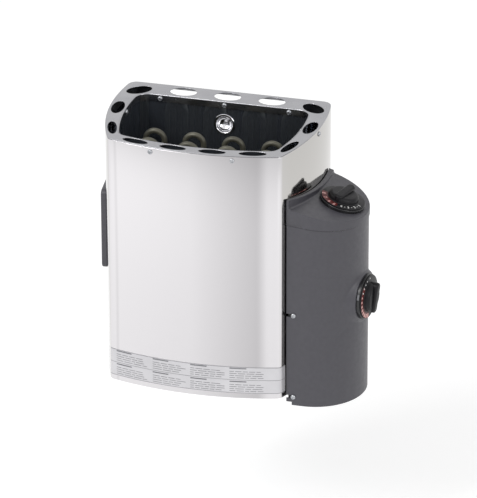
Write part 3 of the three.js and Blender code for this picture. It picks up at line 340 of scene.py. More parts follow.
# Half width of a plan's side arc at a depth, and depth of its front arc at a width.
def sideX(plan, y):
    side = centres(plan)[0]
    return side[0] + np.sqrt(plan["sideRadius"] ** 2 - (y - side[1]) ** 2)


def frontY(plan, x):
    front = centres(plan)[1]
    return front[1] - np.sqrt(plan["frontRadius"] ** 2 - x ** 2)


# A section of offsets and levels carried round a closed plan.
def sweepLoop(plan, section):
    rings = np.array([atLevel(loopPlan(plan, grow), z) for grow, z in section])
    return rings, gridFaces(*rings.shape[:2], True, True)


# The casing's plan, open at the back, with a turned flange at each end.
def openPlan(grow):
    end = np.array([[centres(casing)[2][0] - casing["flange"], casing["back"] + grow]])
    right = np.concatenate([end, halfPlan(casing, grow)])
    return np.concatenate([right, right[:-1][::-1] * (-1, 1)])


# The sheet's section, a tall bar with round ends, carried along the open plan.
def buildCasing():
    half = casing["sheet"] / 2
    section = np.concatenate([arcPoints(-half, half, half, -halfTurn, 0, 6),
                              arcPoints(-half, casing["top"] - half, half, 0, halfTurn, 6)])
    rings = np.array([atLevel(openPlan(grow), z) for grow, z in section])
    meshPiece("casing_shell", rings, cappedRun(*rings.shape[:2]), "polished", replaces=["outer_casing"])


rim = dict(top=380.0, sheet=1.2, skirt=19.5, backLip=5.0, backRoom=95.3, flange=11.0, roll=1.6, edge=0.5,
           skirtGap=0.4, skirtSunk=0.7)
airHole = dict(length=19.5, backPitch=65.8, backDepth=18.5, backWidth=13.5, frontPitch=57.0, frontWidth=7.05,
               sideDepths=(94.0, 164.0), sideLength=21.5, sideMargin=3.3, cornerDepth=28.0, cornerWidth=12.5,
               cornerTurn=math.radians(40))


# An ellipse by its two half axes, turned by an angle.
def ellipsePoints(x, y, long, short, angle, steps=48):
    a = np.linspace(0, fullTurn, steps, endpoint=False)
    u, v = long * np.cos(a), short * np.sin(a)
    c, s = math.cos(angle), math.sin(angle)
    return np.stack([x + c * u - s * v, y + s * u + c * v], 1)


# Oval holes: three behind, four in front and two on each side midway between the plans, one in each rear corner.
def airHoles():
    long = airHole["length"]
    holes = [ellipsePoints(i * airHole["backPitch"], -airHole["backDepth"], long, airHole["backWidth"], 0)
             for i in (-1, 0, 1)]
    for i in (-1.5, -0.5, 0.5, 1.5):
        x = i * airHole["frontPitch"]
        y = (frontY(casing, x) + frontY(opening, x)) / 2
        holes.append(ellipsePoints(x, y, long, airHole["frontWidth"], math.asin(x / casing["frontRadius"])))
    for hand in (-1, 1):
        for depth in airHole["sideDepths"]:
            outer, inner = sideX(casing, -depth), sideX(opening, -depth)
            lean = math.asin((depth - casing["widestAt"]) / casing["sideRadius"])
            short = (outer - inner) / 2 * math.cos(lean) - airHole["sideMargin"]
            holes.append(ellipsePoints(hand * (outer + inner) / 2, -depth, short, airHole["sideLength"], -hand * lean))
        holes.append(ellipsePoints(hand * opening["halfWidth"], -airHole["cornerDepth"], long,
                                   airHole["cornerWidth"], -hand * airHole["cornerTurn"]))
    return holes


# A flat plate between an outline and its holes, with bevelled edges.
def flatPlate(name, loops, low, high, bevel, look, replaces):
    curve = bpy.data.curves.new(name, "CURVE")
    curve.dimensions = "2D"
    curve.fill_mode = "BOTH"
    curve.extrude = ((high - low) / 2 - bevel) * mm
    curve.bevel_depth = bevel * mm
    curve.bevel_resolution = 2
    curve.offset = -bevel * mm
    for loop in loops:
        spline = curve.splines.new("POLY")
        spline.points.add(len(loop) - 1)
        spots = np.column_stack([(loop + hang[:2]) * mm, np.zeros(len(loop)), np.ones(len(loop))])
        spline.points.foreach_set("co", spots.ravel())
        spline.use_cyclic_u = True
    mesh = meshOf(curve)
    mesh.transform(Matrix.Translation((0, 0, ((low + high) / 2 + hang[2]) * mm)))
    return finishPiece(name, mesh, look, replaces=replaces)


# The plate, its rolled inner flange and its outer skirt, which is only a lip where the back is open.
def buildRim():
    top, sheet, roll = rim["top"], rim["sheet"], rim["roll"]
    loops = [loopPlan(casing, 0.0), loopPlan(opening, roll)] + airHoles()
    flatPlate("rim_plate", loops, top - sheet, top, rim["edge"], "satin", ["top_rim"])
    foot = top - rim["flange"]
    section = np.concatenate([arcPoints(roll, top - roll, roll, quarterTurn, halfTurn, 8),
                              [(0.0, foot), (sheet, foot)],
                              arcPoints(roll, top - roll, roll - sheet, halfTurn, quarterTurn, 6)])
    meshPiece("rim_flange", *sweepLoop(opening, section[::-1]), "satin")
    outer = -(casing["sheet"] + rim["skirtGap"])
    inner, high, low = outer - sheet, top - rim["skirtSunk"], top - rim["skirt"]
    rings, faces = sweepLoop(casing, [(outer, high), (inner, high), (inner, low), (outer, low)])
    behind = (rings[:, :, 1] > 2 * inner) & (abs(rings[:, :, 0]) < rim["backRoom"])
    rings[:, :, 2] = np.where(behind, np.maximum(rings[:, :, 2], top - rim["backLip"]), rings[:, :, 2])
    meshPiece("rim_skirt", rings, faces, "skirt")


liner = dict(top=378.5, bend=368.6, bendAbove=2.0, bendBelow=6.0, levels=(300.0, 200.0, 120.0), foot=58.0,
             grow=1.6, sheet=1.2, backTaper=22.0, sideTaper=6.0, ledge=8.0)
cup = dict(level=344.0, y=-36.6, normal=(0, -0.9988, 0.0498), radius=13.0, flange=2.6, depth=10.0, wall=1.0,
           edge=0.5, mouth=1.2, holeGap=0.4, seat=0.3, lift=0.6, openEnd=0.17)


# The opening's plan at a level, drawn in towards the foot: the sides a little, the back more.
def linerRing(z, grow):
    lean = max(0.0, (liner["bend"] - z) / (liner["bend"] - liner["foot"]))
    ring = loopPlan(opening, liner["grow"] + grow)
    share = np.clip((ring[:, 1] + casing["depth"]) / casing["depth"], 0, 1)
    x = ring[:, 0] * (1 - lean * liner["sideTaper"] / opening["halfWidth"])
    y = ring[:, 1] + lean * (liner["sideTaper"] * (1 - share) ** 2 - liner["backTaper"] * share ** 2)
    return atLevel(np.column_stack([x, y]), z)


# A round hole through the chamber's back wall, behind the lock cup.
def pierce(piece, radius, sides=64, reach=20.0):
    points = lathe([(radius, -reach), (radius, reach)], sides)[0]
    at = np.array((0.0, cup["y"], cup["level"])) + hang
    mesh = bpy.data.meshes.new("drill")
    mesh.from_pydata(((points[:, [0, 2, 1]] * (1, -1, 1) + at) * mm).tolist(), [], cappedRings(2, sides))
    drill = bpy.data.objects.new("drill", mesh)
    bpy.context.scene.collection.objects.link(drill)
    cut = piece.modifiers.new("hole", "BOOLEAN")
    cut.object, cut.operation, cut.solver = drill, "DIFFERENCE", "EXACT"
    bpy.context.view_layer.update()
    made = bpy.data.meshes.new_from_object(piece.evaluated_get(bpy.context.evaluated_depsgraph_get()))
    piece.modifiers.clear()
    piece.data = made
    bpy.data.objects.remove(drill)


# Inner wall from the top down, the ledge that carries the grate, and the outer wall back up.
def buildLiner():
    sheet, foot, bend, inset = liner["sheet"], liner["foot"], liner["bend"], liner["sheet"] - liner["ledge"]
    levels = [liner["top"], bend + liner["bendAbove"], bend, bend - liner["bendBelow"], *liner["levels"], foot + sheet]
    rings = [linerRing(z, 0) for z in levels]
    rings += [linerRing(foot + sheet, inset), linerRing(foot, inset)]
    rings += [linerRing(z, sheet) for z in [foot] + levels[-2::-1]]
    faces = gridFaces(len(rings), len(rings[0]), True, True)
    wall = meshPiece("chamber_wall", rings, faces, "chamber", replaces=["stone_liner"])
    pierce(wall, cup["radius"] + cup["holeGap"])


element = dict(rows=(93.5, 127.0, 160.5), radius=4.0, sides=20, top=349.0, low=82.5, bend=13.75, ends=100.8,
               tail=25.7, bends=4, bendSteps=28, runSteps=29, collarBore=3.5, collarRadius=6.5, collarEdge=0.8,
               collarLow=46.3, collarHigh=51.3)


# A round section carried along a path that lies across the y axis, with both ends capped.
def tube(path, radius, sides):
    tangent = np.gradient(path, axis=0)
    across = np.cross(tangent, (0, 1, 0))
    across /= np.linalg.norm(across, axis=1)[:, None]
    a = np.linspace(0, fullTurn, sides, endpoint=False)[:, None]
    rings = path[:, None] + radius * (across[:, None] * np.cos(a) + np.array((0, 1, 0)) * np.sin(a))
    return rings.reshape(-1, 3), cappedRings(len(rings), sides)


# The element's line in x and z: up from the tail, over the upper bends and round the lower ones, and down again.
def serpentine():
    ends, bend, count, steps = element["ends"], element["bend"], element["bends"], element["bendSteps"]
    span = 2 * (ends - bend)
    pitch = span / (count - 1)
    lower = pitch / 2 - bend
    high, low = element["top"] - bend, element["low"] + lower

    def straight(x, start, end):
        z = np.linspace(start, end, element["runSteps"] + 1)[1:]
        return np.column_stack([np.full(len(z), x), z])

    points = [[(-ends, element["tail"])], straight(-ends, element["tail"], high)]
    for i in range(count):
        x = -span / 2 + i * pitch
        points.append(arcPoints(x, high, bend, halfTurn, 0, steps)[1:])
        if i < count - 1:
            points += [straight(x + bend, high, low),
                       arcPoints(x + pitch / 2, low, lower, -halfTurn, 0, steps)[1:],
                       straight(x + pitch - bend, low, high)]
    points.append(straight(ends, high, element["tail"]))
    return np.concatenate(points)


# Each element is a tube along the line, with a collar on either tail.
def buildElements():
    flat = serpentine()
    low, high, edge = element["collarLow"], element["collarHigh"], element["collarEdge"]
    bore, r = element["collarBore"], element["collarRadius"]
    collar, collarFaces = lathe([(bore, low), (r, low), (r, high - edge), (r - edge, high), (bore, high)], 24)
    for name, depth in zip(("rear", "middle", "front"), element["rows"]):
        path = np.column_stack([flat[:, 0], np.full(len(flat), -depth), flat[:, 1]])
        parts = [tube(path, element["radius"], element["sides"])]
        parts += [(collar + (x, -depth, 0), collarFaces) for x in (-element["ends"], element["ends"])]
        meshPiece(f"element_{name}_tube", *merge(*parts), "element", replaces=[f"heating_element_{name}"])


buildCasing()
buildRim()
buildLiner()
buildElements()
print("casing, rim, chamber and elements done")


# A place and its three axes as a 4x4 array in millimetres.
def frameOf(origin, x, y, z):
    made = np.eye(4)
    made[:3, 0], made[:3, 1], made[:3, 2], made[:3, 3] = x, y, z, origin
    return made


def placed(at, points):
    points = np.asarray(points, float).reshape(-1, 3)
    return points @ at[:3, :3].T + at[:3, 3]


def turnedBy(at, angle):
    spin = np.eye(4)
    spin[:2, :2] = [[math.cos(angle), -math.sin(angle)], [math.sin(angle), math.cos(angle)]]
    return at @ spin


# A place on an upright surface, with z along its normal and x level.
def normalFrame(point, normal):
    z = np.array(normal, float)
    z /= np.linalg.norm(z)
    x = np.cross((0, 0, 1), z)
    x /= np.linalg.norm(x)
    return frameOf(point, x, np.cross(z, x), z)


box = dict(x=155.5, y=-115.0, radius=75.6, edge=132.2, foot=-13.0, wall=2.0, clear=0.6, flat=2.0,
           slots=(129.6, 0.0), slotDepth=10.2, slotHeight=5.0, notch=(8.0, 5.0))
lid = dict(tilt=math.radians(14.5), seamTilt=math.radians(6.5), height=290.0, skirt=22.0, overhang=1.1, gap=0.5,
           lip=(14.0, 4.3), lipFall=2.2, lipWidth=(3.0, 7.4), lipStand=(0.05, 0.3), lipEdge=1.1, lipFlat=0.4,
           lipRoom=0.3, fillet=2.2, round=1.0, rows=150, columns=70, pullTo=12.0, footIn=0.6, wallIn=3.0)
timer = dict(offset=39.5, rest=math.radians(75.0))
thermostat = dict(height=142.0, turn=math.radians(8.6), out=76.2, rest=math.radians(80.0))

cosTilt, sinTilt = math.cos(lid["tilt"]), math.sin(lid["tilt"])
lidFrame = frameOf((box["x"], box["y"], lid["height"]), (cosTilt, 0, -sinTilt), (0, 1, 0), (sinTilt, 0, cosTilt))
timerFrame = lidFrame.copy()
timerFrame[:3, 3] += lidFrame[:3, 0] * timer["offset"]
outward = np.array((math.cos(thermostat["turn"]), -math.sin(thermostat["turn"]), 0.0))
tangentOut = np.array((math.sin(thermostat["turn"]), math.cos(thermostat["turn"]), 0.0))
thermostatFrame = frameOf(np.array((box["x"], box["y"], thermostat["height"])) + outward * thermostat["out"],
                          tangentOut, (0, 0, 1), outward)


# Heights of the tilted lid and of the sloping seam below it, at a place across the box.
def lidLevel(x, level):
    return lid["height"] - (x - box["x"]) * math.tan(lid["tilt"]) + level / cosTilt


def seamLevel(x, level):
    return lid["height"] - lid["skirt"] - (x - box["x"]) * math.tan(lid["seamTilt"]) + level


# The larger of two heights, rounded over a width of k where they meet.
def smoothMax(a, b, k):
    h = np.clip(0.5 + 0.5 * (a - b) / k, 0, 1)
    return b + (a - b) * h + k * h * (1 - h)


# Section of the lid's upturned lip at a share of its run: tall and thin in front, lower and thicker behind.
# It has two rounded edges and a fillet at its foot.
def lipProfile(share):
    height = lid["lip"][1] + (lid["lip"][0] - lid["lip"][1]) * (1 - share) ** lid["lipFall"]
    stand = lid["lipStand"][0] + lid["lipStand"][1] * share
    width = stand + lid["lipWidth"][0] + (lid["lipWidth"][1] - lid["lipWidth"][0]) * share
    edge = lid["lipEdge"]
    fillet = min(lid["fillet"], height - edge - lid["lipFlat"])
    return np.concatenate([[(0.0, 0.0), (stand, 0.0)],
                           arcPoints(stand + edge, height - edge, edge, halfTurn, quarterTurn, 5),
                           arcPoints(width - edge, height - edge, edge, quarterTurn, 0, 5),
                           arcPoints(width + fillet, fillet, fillet, halfTurn, halfTurn + quarterTurn, 11)])


# Top of the lid on a grid of rows from front to back: the lip's section along the casing side, then out to the
# half-round edge, where it falls away in a quarter round.
def lidTop():
    radius, side, edge = box["radius"] + lid["overhang"], centres(casing)[0], lid["round"]
    y = box["y"] + radius * np.sin(np.linspace(-quarterTurn, quarterTurn, lid["rows"]))[:, None]
    lip = np.array([lipProfile(share) for share in (y[:, 0] - y[0, 0]) / (y[-1, 0] - y[0, 0])])
    wallAngle = np.arcsin((y - side[1]) / casing["sideRadius"])
    wallX = np.maximum(side[0] + (casing["sideRadius"] + box["clear"]) * np.cos(wallAngle), box["edge"])
    outerX = box["x"] + np.sqrt(np.maximum(radius ** 2 - (y - box["y"]) ** 2, 0))
    reach = lip[:, :, 0] / np.cos(wallAngle)
    lipX = wallX + reach * np.minimum((outerX - lid["lipRoom"] - wallX) / reach[:, -1:], 1)
    spread = np.sin(np.linspace(0, quarterTurn, lid["columns"])[1:])
    x = np.concatenate([lipX, lipX[:, -1:] + (outerX - lipX[:, -1:]) * spread], 1)
    lift = np.concatenate([lip[:, :, 1], np.zeros((len(y), len(spread)))], 1)
    inset = radius - np.where(x < box["x"], abs(y - box["y"]), np.hypot(x - box["x"], y - box["y"]))
    drop = edge - np.sqrt(np.maximum(edge ** 2 - (edge - np.clip(inset, 0, edge)) ** 2, 0))
    return np.stack([x, y + 0 * x, lidLevel(x, lift - drop)], -1)


# The top with a skirt hung from its border down to the seam and turned in there.
def buildLid():
    top = lidTop()
    rows, columns = top.shape[:2]
    number = np.arange(rows * columns).reshape(rows, columns)
    border = np.concatenate([number[0], number[1:, -1], number[-1, -2::-1], number[-2:0:-1, 0]])
    points = top.reshape(-1, 3)
    low, foot = points[border], points[border]
    pull = np.array((box["x"] + lid["pullTo"], box["y"])) - foot[:, :2]
    pull /= np.linalg.norm(pull, axis=1)[:, None]
    low[:, 2] = seamLevel(low[:, 0], lid["gap"])
    foot[:, :2] += pull * lid["footIn"]
    foot[:, 2] = seamLevel(foot[:, 0], 0.0)
    inside = foot.copy()
    inside[:, :2] += pull * lid["wallIn"]
    faces, count = gridFaces(rows, columns), len(border)
    loops = [border] + [len(points) + k * count + np.arange(count) for k in range(3)]
    for upper, lower in zip(loops[:-1], loops[1:]):
        faces += joinLoops(lower, upper)
    points = np.concatenate([points, low, foot, inside])
    meshPiece("control_lid", points, faces, "graphite", replaces=["box_lid"], smooth=50.0)


# The boss is a cone that grows out of the round cover inside a patch of its grid.
boss = dict(radius=36.5, slope=2.0, soft=2.2, blend=3.5, blendEnd=52.0, patchHigh=58.0, cells=28,
            patchWide=math.radians(52.0), outerRings=(53.5, 50.0, 48.0), slopeRings=(46.5, 35.0, 24),
            innerRings=(34.0, 30.0, 20.0), columns=(14, 20), rowsBelow=14, rowsAbove=12)


# Cylinder by angle and height up to the sloping seam. The patch is left out of its grid and filled with rings
# round the boss, whose height is the larger of the cylinder's and the cone's, blended.
def coverShell():
    radius, cells, level = box["radius"], boss["cells"], thermostat["height"]
    start, end = -thermostat["turn"] - boss["patchWide"], -thermostat["turn"] + boss["patchWide"]
    turn = np.concatenate([np.linspace(-quarterTurn, start, boss["columns"][0]),
                           np.linspace(start, end, cells + 1)[1:],
                           np.linspace(end, quarterTurn, boss["columns"][1])[1:]])
    x = np.concatenate([[box["x"] - box["flat"]], box["x"] + radius * np.cos(turn)])
    y = np.concatenate([[box["y"] - radius], box["y"] + radius * np.sin(turn)])
    low, high = level - boss["patchHigh"], level + boss["patchHigh"]
    below = np.linspace(box["foot"], low, boss["rowsBelow"])
    across = np.linspace(low, high, cells + 1)[1:]
    above = np.linspace(0, 1, boss["rowsAbove"])[1:, None]
    z = np.concatenate([np.concatenate([below, across])[:, None] + 0 * x,
                        high + (seamLevel(x, -lid["gap"]) - high) * above])
    grid = np.stack([x + 0 * z, y + 0 * z, z], -1).reshape(-1, 3)
    rows, columns = z.shape
    r0, c0 = boss["rowsBelow"] - 1, boss["columns"][0]
    r1, c1 = r0 + cells, c0 + cells
    keep = np.ones((rows - 1, columns - 1), bool)
    keep[r0:r1, c0:c1] = False
    faces = np.array(gridFaces(rows, columns))[keep.ravel()].tolist()
    number = np.arange(rows * columns).reshape(rows, columns)
    ring = np.concatenate([number[r0, c0:c1], number[r0:r1, c1], number[r1, c1:c0:-1], number[r1:r0:-1, c0]])
    local = (grid[ring] - thermostatFrame[:3, 3]) @ thermostatFrame[:3, :3]
    angle = np.arctan2(local[:, 1], local[:, 0])
    r = np.concatenate([boss["outerRings"], np.linspace(*boss["slopeRings"]), boss["innerRings"]])[:, None]
    p, q = r * np.cos(angle), r * np.sin(angle)
    cylinder = np.sqrt(radius ** 2 - p ** 2) - thermostat["out"]
    cone = -smoothMax((r - boss["radius"]) * boss["slope"], 0.0, boss["soft"]) + 0 * p
    rise = np.where(r < boss["blendEnd"], smoothMax(cylinder, cone, boss["blend"]), cylinder)
    rings = placed(thermostatFrame, np.stack([p, q, rise], -1))
    count = len(ring)
    loops = [ring] + [len(grid) + k * count + np.arange(count) for k in range(len(r))]
    for outer, inner in zip(loops[:-1], loops[1:]):
        faces += joinLoops(outer, inner)
    return np.concatenate([grid, rings]), faces + [loops[-1].tolist()]


# The cover's flat front, in x and z, with open slots for the screws and a notch at its foot.
def flankOutline():
    edge, foot, end = box["edge"], box["foot"], box["x"] - box["flat"]
    half, deep = box["slotHeight"] / 2, edge + box["slotDepth"]
    points = [[(end, foot), (end, seamLevel(end, -lid["gap"])), (edge, seamLevel(edge, -lid["gap"]))]]
    for z in box["slots"]:
        points += [[(edge, z + half)], arcPoints(deep, z, half, quarterTurn, -quarterTurn, 8), [(edge, z - half)]]
    width, height = box["notch"]
    points.append([(edge, foot + height), (edge + width, foot + height), (edge + width, foot)])
    return np.concatenate(points)


def buildCover():
    flank = flankOutline()
    outer = np.column_stack([flank[:, 0], np.full(len(flank), box["y"] - box["radius"]), flank[:, 1]])
    flat = np.concatenate([outer, outer + (0, box["wall"], 0)]), slabFaces(len(flank))
    meshPiece("control_cover", *merge(coverShell(), flat), "graphite", replaces=["box_cover"], smooth=50.0)


buildLid()
buildCover()
print("control box done")


dial = dict(bezel=33.0, bezelLow=0.3, bezelHigh=5.0, bezelEdge=1.2, bezelBore=5.6, skirt=31.8, skirtLow=5.4,
            skirtHigh=7.0, chamfer=0.3, edge=0.6, bore=3.5, rootWide=1.2, rootHigh=1.0, hub=21.8, hubTop=15.5,
            hubHigh=15.5, swell=(0.7, 0.85), grip=21.3, gripFall=0.25, gripSoft=3.4, gripLength=45.0,
            gripWidth=13.0, scale=27.9)


# A bar with half-round ends and a rounded top, whose height falls away towards one end.
def gripShape():
    half, run = dial["gripWidth"] / 2, (dial["gripLength"] - dial["gripWidth"]) / 2
    low, high, soft = dial["skirtHigh"] + dial["rootHigh"], dial["grip"], dial["gripSoft"]
    section = np.concatenate([[(0.0, low)], arcPoints(soft, high - soft, soft, halfTurn, quarterTurn, 7)])
    rings = np.array([
        atLevel(np.concatenate([arcPoints(run, 0, half - inset, -quarterTurn, quarterTurn, 14),
                                arcPoints(-run, 0, half - inset, quarterTurn, 3 * quarterTurn, 14)]), z)
        for inset, z in section])
    fall = dial["gripFall"] * (0.5 - rings[:, :, 0] / dial["gripLength"])
    rings[:, :, 2] -= (rings[:, :, 2] - low) * fall
    return rings.reshape(-1, 3), cappedRings(*rings.shape[:2], foot=False)


# A turned skirt and a swelling hub, with the grip across it.
def buildKnob(name, at, rest, body):
    skirt, low, high, hub, bore = (dial[key] for key in ("skirt", "skirtLow", "skirtHigh", "hub", "bore"))
    chamfer, edge, wide, root, top = (dial[key] for key in ("chamfer", "edge", "rootWide", "rootHigh", "hubTop"))
    a = np.linspace(0, quarterTurn, 14)[1:-1]
    across, rise = np.cos(a) ** dial["swell"][0], np.sin(a) ** dial["swell"][1]
    profile = np.concatenate([
        [(bore, low), (skirt - chamfer, low), (skirt, low + chamfer)],
        [(skirt, high - edge), (skirt - edge / 3, high - edge / 3), (skirt - edge, high)],
        [(hub + wide, high), (hub + wide / 3, high + 0.3 * root), (hub, high + root)],
        np.column_stack([top + (hub - top) * across, high + root + (dial["hubHigh"] - high - root) * rise]),
        [(top, dial["hubHigh"]), (bore, dial["hubHigh"])]])
    points, faces = merge(lathe(profile, 96), gripShape())
    spun = turnedBy(at, rest)
    meshPiece(f"{name}_grip_knob", placed(spun, points), faces, "knob", body=body, replaces=[f"{name}_knob"])


# A turned ring with a rounded outer edge.
def buildBezel(name, at):
    r, low, high = dial["bezel"], dial["bezelLow"], dial["bezelHigh"]
    bore, edge = dial["bezelBore"], dial["bezelEdge"]
    profile = np.concatenate([[(bore, low), (r, low)], arcPoints(r - edge, high - edge, edge, 0, quarterTurn, 5),
                              [(bore, high)]])
    points, faces = lathe(profile, 96)
    meshPiece(f"{name}_ring", placed(at, points), faces, "black", replaces=[f"{name}_bezel"])


for name, at, rest in (("timer", timerFrame, timer["rest"]), ("thermostat", thermostatFrame, thermostat["rest"])):
    buildBezel(name, at)
    buildKnob(name, at, rest, f"{name}_dial")
print("dials done")


# Scales of plain figures, dots and bands on the skirts, on the turning bodies. Angles are in degrees.
ink = dict(lift=0.12, half=0.06, bandLow=0.1, bandHigh=0.04, inner=1.4, outer=0.5, bolder=0.02)
timerScale = dict(red=(-182, -95), delay="8765", delayAngles=(-168, -144, -122, -104), delaySize=7.3, delayOut=0.6,
                  hours="4321", hourAngles=(-82, -60, -38, -16), hourSize=6.4, hourOut=-0.7,
                  dotAngles=(-71, -49, -27), dotSize=0.75)
thermostatScale = dict(red=(130, 266), sizes=(1.1, 3.0, 12), angles=(106, 258, 12), spread=1.5, coolMarks=4,
                       dotSize=1.3, dotAngle=86)
index = dict(angles=(153, 167), steps=9, foot=0.6, top=1.3, sunk=0.2, proud=0.12)


# An outline given a thickness.
def flatShape(outline, low, high):
    return np.concatenate([atLevel(outline, z) for z in (low, high)]), slabFaces(len(outline))


# A piece of a flat ring between two angles.
def sector(inner, outer, start, end, low, high):
    start, end = math.radians(start), math.radians(end)
    return flatShape(np.concatenate([arcPoints(0, 0, outer, start, end, 39), arcPoints(0, 0, inner, end, start, 39)]),
                     low, high)


# A figure that stands upright seen from outside, its foot towards the rim of the dial.
def figure(text, size, radius, angle, level):
    curve = bpy.data.curves.new("figure", "FONT")
    curve.body, curve.size, curve.extrude = text, size, ink["half"]
    curve.align_x, curve.align_y = "CENTER", "CENTER"
    curve.offset, curve.resolution_u = ink["bolder"] * size, 4
    mesh = meshOf(curve)
    points = np.empty(3 * len(mesh.vertices), np.float32)
    mesh.vertices.foreach_get("co", points)
    points = points.reshape(-1, 3).astype(float)
    faces = [tuple(face.vertices) for face in mesh.polygons]
    bpy.data.meshes.remove(mesh)
    c, s = math.cos(math.radians(angle)), math.sin(math.radians(angle))
    flat = np.outer(points[:, 0], (-s, c)) + np.outer(points[:, 1], (-c, -s)) + radius * np.array((c, s))
    return np.column_stack([flat, points[:, 2] + level]), faces


def dot(size, radius, angle, level):
    x, y = radius * math.cos(math.radians(angle)), radius * math.sin(math.radians(angle))
    return flatShape(arcPoints(x, y, size, 0, fullTurn, 20)[:-1], level - ink["half"], level + ink["half"])


def buildScales():
    level, r, half = dial["skirtHigh"] + ink["lift"], dial["scale"], ink["half"]
    inner, outer = dial["hub"] + ink["inner"], dial["skirt"] - ink["outer"]
    band = level - ink["bandLow"], level - ink["bandHigh"]
    delay = [figure(text, timerScale["delaySize"], r + timerScale["delayOut"], angle, level)
             for text, angle in zip(timerScale["delay"], timerScale["delayAngles"])]
    hourRadius = r + timerScale["hourOut"]
    hours = [figure(text, timerScale["hourSize"], hourRadius, angle, level)
             for text, angle in zip(timerScale["hours"], timerScale["hourAngles"])]
    hours += [dot(timerScale["dotSize"], hourRadius, angle, level) for angle in timerScale["dotAngles"]]
    marks = []
    for size, angle in zip(np.linspace(*thermostatScale["sizes"]), np.linspace(*thermostatScale["angles"])):
        turn = thermostatScale["spread"] * size
        marks.append(sector(r - size, r + size, angle - turn, angle + turn, level - half, level + half))
    cool = marks[:thermostatScale["coolMarks"]]
    cool.append(dot(thermostatScale["dotSize"], r, thermostatScale["dotAngle"], level))
    warm = marks[thermostatScale["coolMarks"]:]
    timerRed, thermostatRed = [[sector(inner, outer, *scale["red"], *band)] for scale in (timerScale, thermostatScale)]
    for name, part, look, at, parts in (
            ("timer", "red", "scaleRed", timerFrame, timerRed),
            ("timer", "delay", "markPink", timerFrame, delay),
            ("timer", "hours", "markWhite", timerFrame, hours),
            ("thermostat", "red", "scaleRed", thermostatFrame, thermostatRed),
            ("thermostat", "warm", "markPink", thermostatFrame, warm),
            ("thermostat", "cool", "markWhite", thermostatFrame, cool)):
        points, faces = merge(*parts)
        meshPiece(f"{name}_scale_{part}", placed(at, points), faces, look, body=f"{name}_dial")


# A mark on the side of the thermostat's ring.
def buildIndex():
    r, (start, end) = dial["bezel"], np.radians(index["angles"])
    low, high = dial["bezelLow"] + index["foot"], dial["bezelHigh"] - index["top"]
    inner, outer = [arcPoints(0, 0, radius, start, end, index["steps"])
                    for radius in (r - index["sunk"], r + index["proud"])]
    points, faces = wrapped(inner, outer, low, high)
    meshPiece("thermostat_index", placed(thermostatFrame, points), faces, "rule")


# A thin band between two open outlines and two levels.
def wrapped(inner, outer, low, high):
    rings = np.array([atLevel(plan, z) for plan, z in ((inner, low), (outer, low), (outer, high), (inner, high))])
    return rings, cappedRun(*rings.shape[:2])


buildScales()
buildIndex()
print("scales done")


screwHead = dict(radius=3.6, height=2.2, seat=0.3, arm=2.3, armSoft=(0.2, -0.2), slot=0.55, slotSoft=(0.18, -0.12),
                 recess=1.1, sides=72, middle=0.12, flat=(0.3, 2.9, 17), edgeRings=8, crown=0.9, rise=0.2)
screwPlace = dict(casingDrop=7.6, rimDrop=6.2, sideDepth=95.0, frontReach=59.5, backPitch=95.5, firstTurn=0.4,
                  nextTurn=0.7, cupTurn=0.5)


# Goes from 0 to 1 between two values, level at both ends.
def smoothStep(value, start, end):
    t = np.clip((value - start) / (end - start), 0, 1)
    return t * t * (3 - 2 * t)


# A domed head on rings of growing radius: the dome falls with the cube of the radius, less a cross recess.
def panHead(turn, seat):
    sides, radius, arm, slot = screwHead["sides"], screwHead["radius"], screwHead["arm"], screwHead["slot"]
    edge = radius * np.sin(np.linspace(1.0, quarterTurn, screwHead["edgeRings"]))
    r = np.concatenate([[screwHead["middle"]], np.linspace(*screwHead["flat"]), edge])[:, None]
    a = np.linspace(0, fullTurn, sides, endpoint=False)
    x, y = r * np.cos(a), r * np.sin(a)
    crown = screwHead["height"] * np.sqrt(1 - np.minimum(r / radius, 1) ** 3) * screwHead["crown"] + screwHead["rise"]
    arms = [smoothStep(abs(u), *(arm + soft for soft in screwHead["armSoft"]))
            * smoothStep(abs(v), *(slot + soft for soft in screwHead["slotSoft"])) for u, v in ((x, y), (y, x))]
    z = crown - screwHead["recess"] * np.maximum(*arms) + seat
    c, s = math.cos(turn), math.sin(turn)
    rings = np.stack([c * x - s * y, s * x + c * y, z], -1)
    rings = np.concatenate([rings, rings[-1:] * (1, 1, 0) + (0, 0, seat)])
    return rings, cappedRings(len(rings), sides)


# Each screw stands on the casing, the rim's flange or the cover, along the normal there.
def buildScrews():
    casingLevel, rimLevel = casing["height"] - screwPlace["casingDrop"], rim["top"] - screwPlace["rimDrop"]
    depth = screwPlace["sideDepth"]
    side, front = centres(casing)[:2]
    inner = centres(opening)[0]
    places = {}
    for hand, word in ((-1, "left"), (1, "right")):
        x = hand * screwPlace["frontReach"]
        y = frontY(casing, x)
        places[f"casing_screw_front_{word}"] = (x, y, casingLevel), (x, y - front[1], 0)
        x = sideX(casing, -depth)
        normal = hand * (x - side[0]), -depth - side[1], 0
        places[f"casing_screw_side_{word}"] = (hand * x, -depth, casingLevel), normal
        x = sideX(opening, -depth)
        places[f"rim_screw_{word}"] = (hand * x, -depth, rimLevel), (-hand * (x - inner[0]), depth + inner[1], 0)
    for i in (1, 2, 3):
        x = (i - 2) * screwPlace["backPitch"]
        places[f"rim_screw_back_{i}"] = (x, -opening["back"], rimLevel), (0, -1, 0)
    for i, z in enumerate(sorted(box["slots"])):
        x = box["edge"] + box["slotDepth"]
        places[f"cover_screw_{i + 1}"] = (x, box["y"] - box["radius"], z), (0, -1, 0)
    for i, (name, (point, normal)) in enumerate(places.items()):
        points, faces = panHead(screwPlace["firstTurn"] + screwPlace["nextTurn"] * i, screwHead["seat"])
        meshPiece(f"{name}_head", placed(normalFrame(point, normal), points), faces, "zinc", replaces=[name])


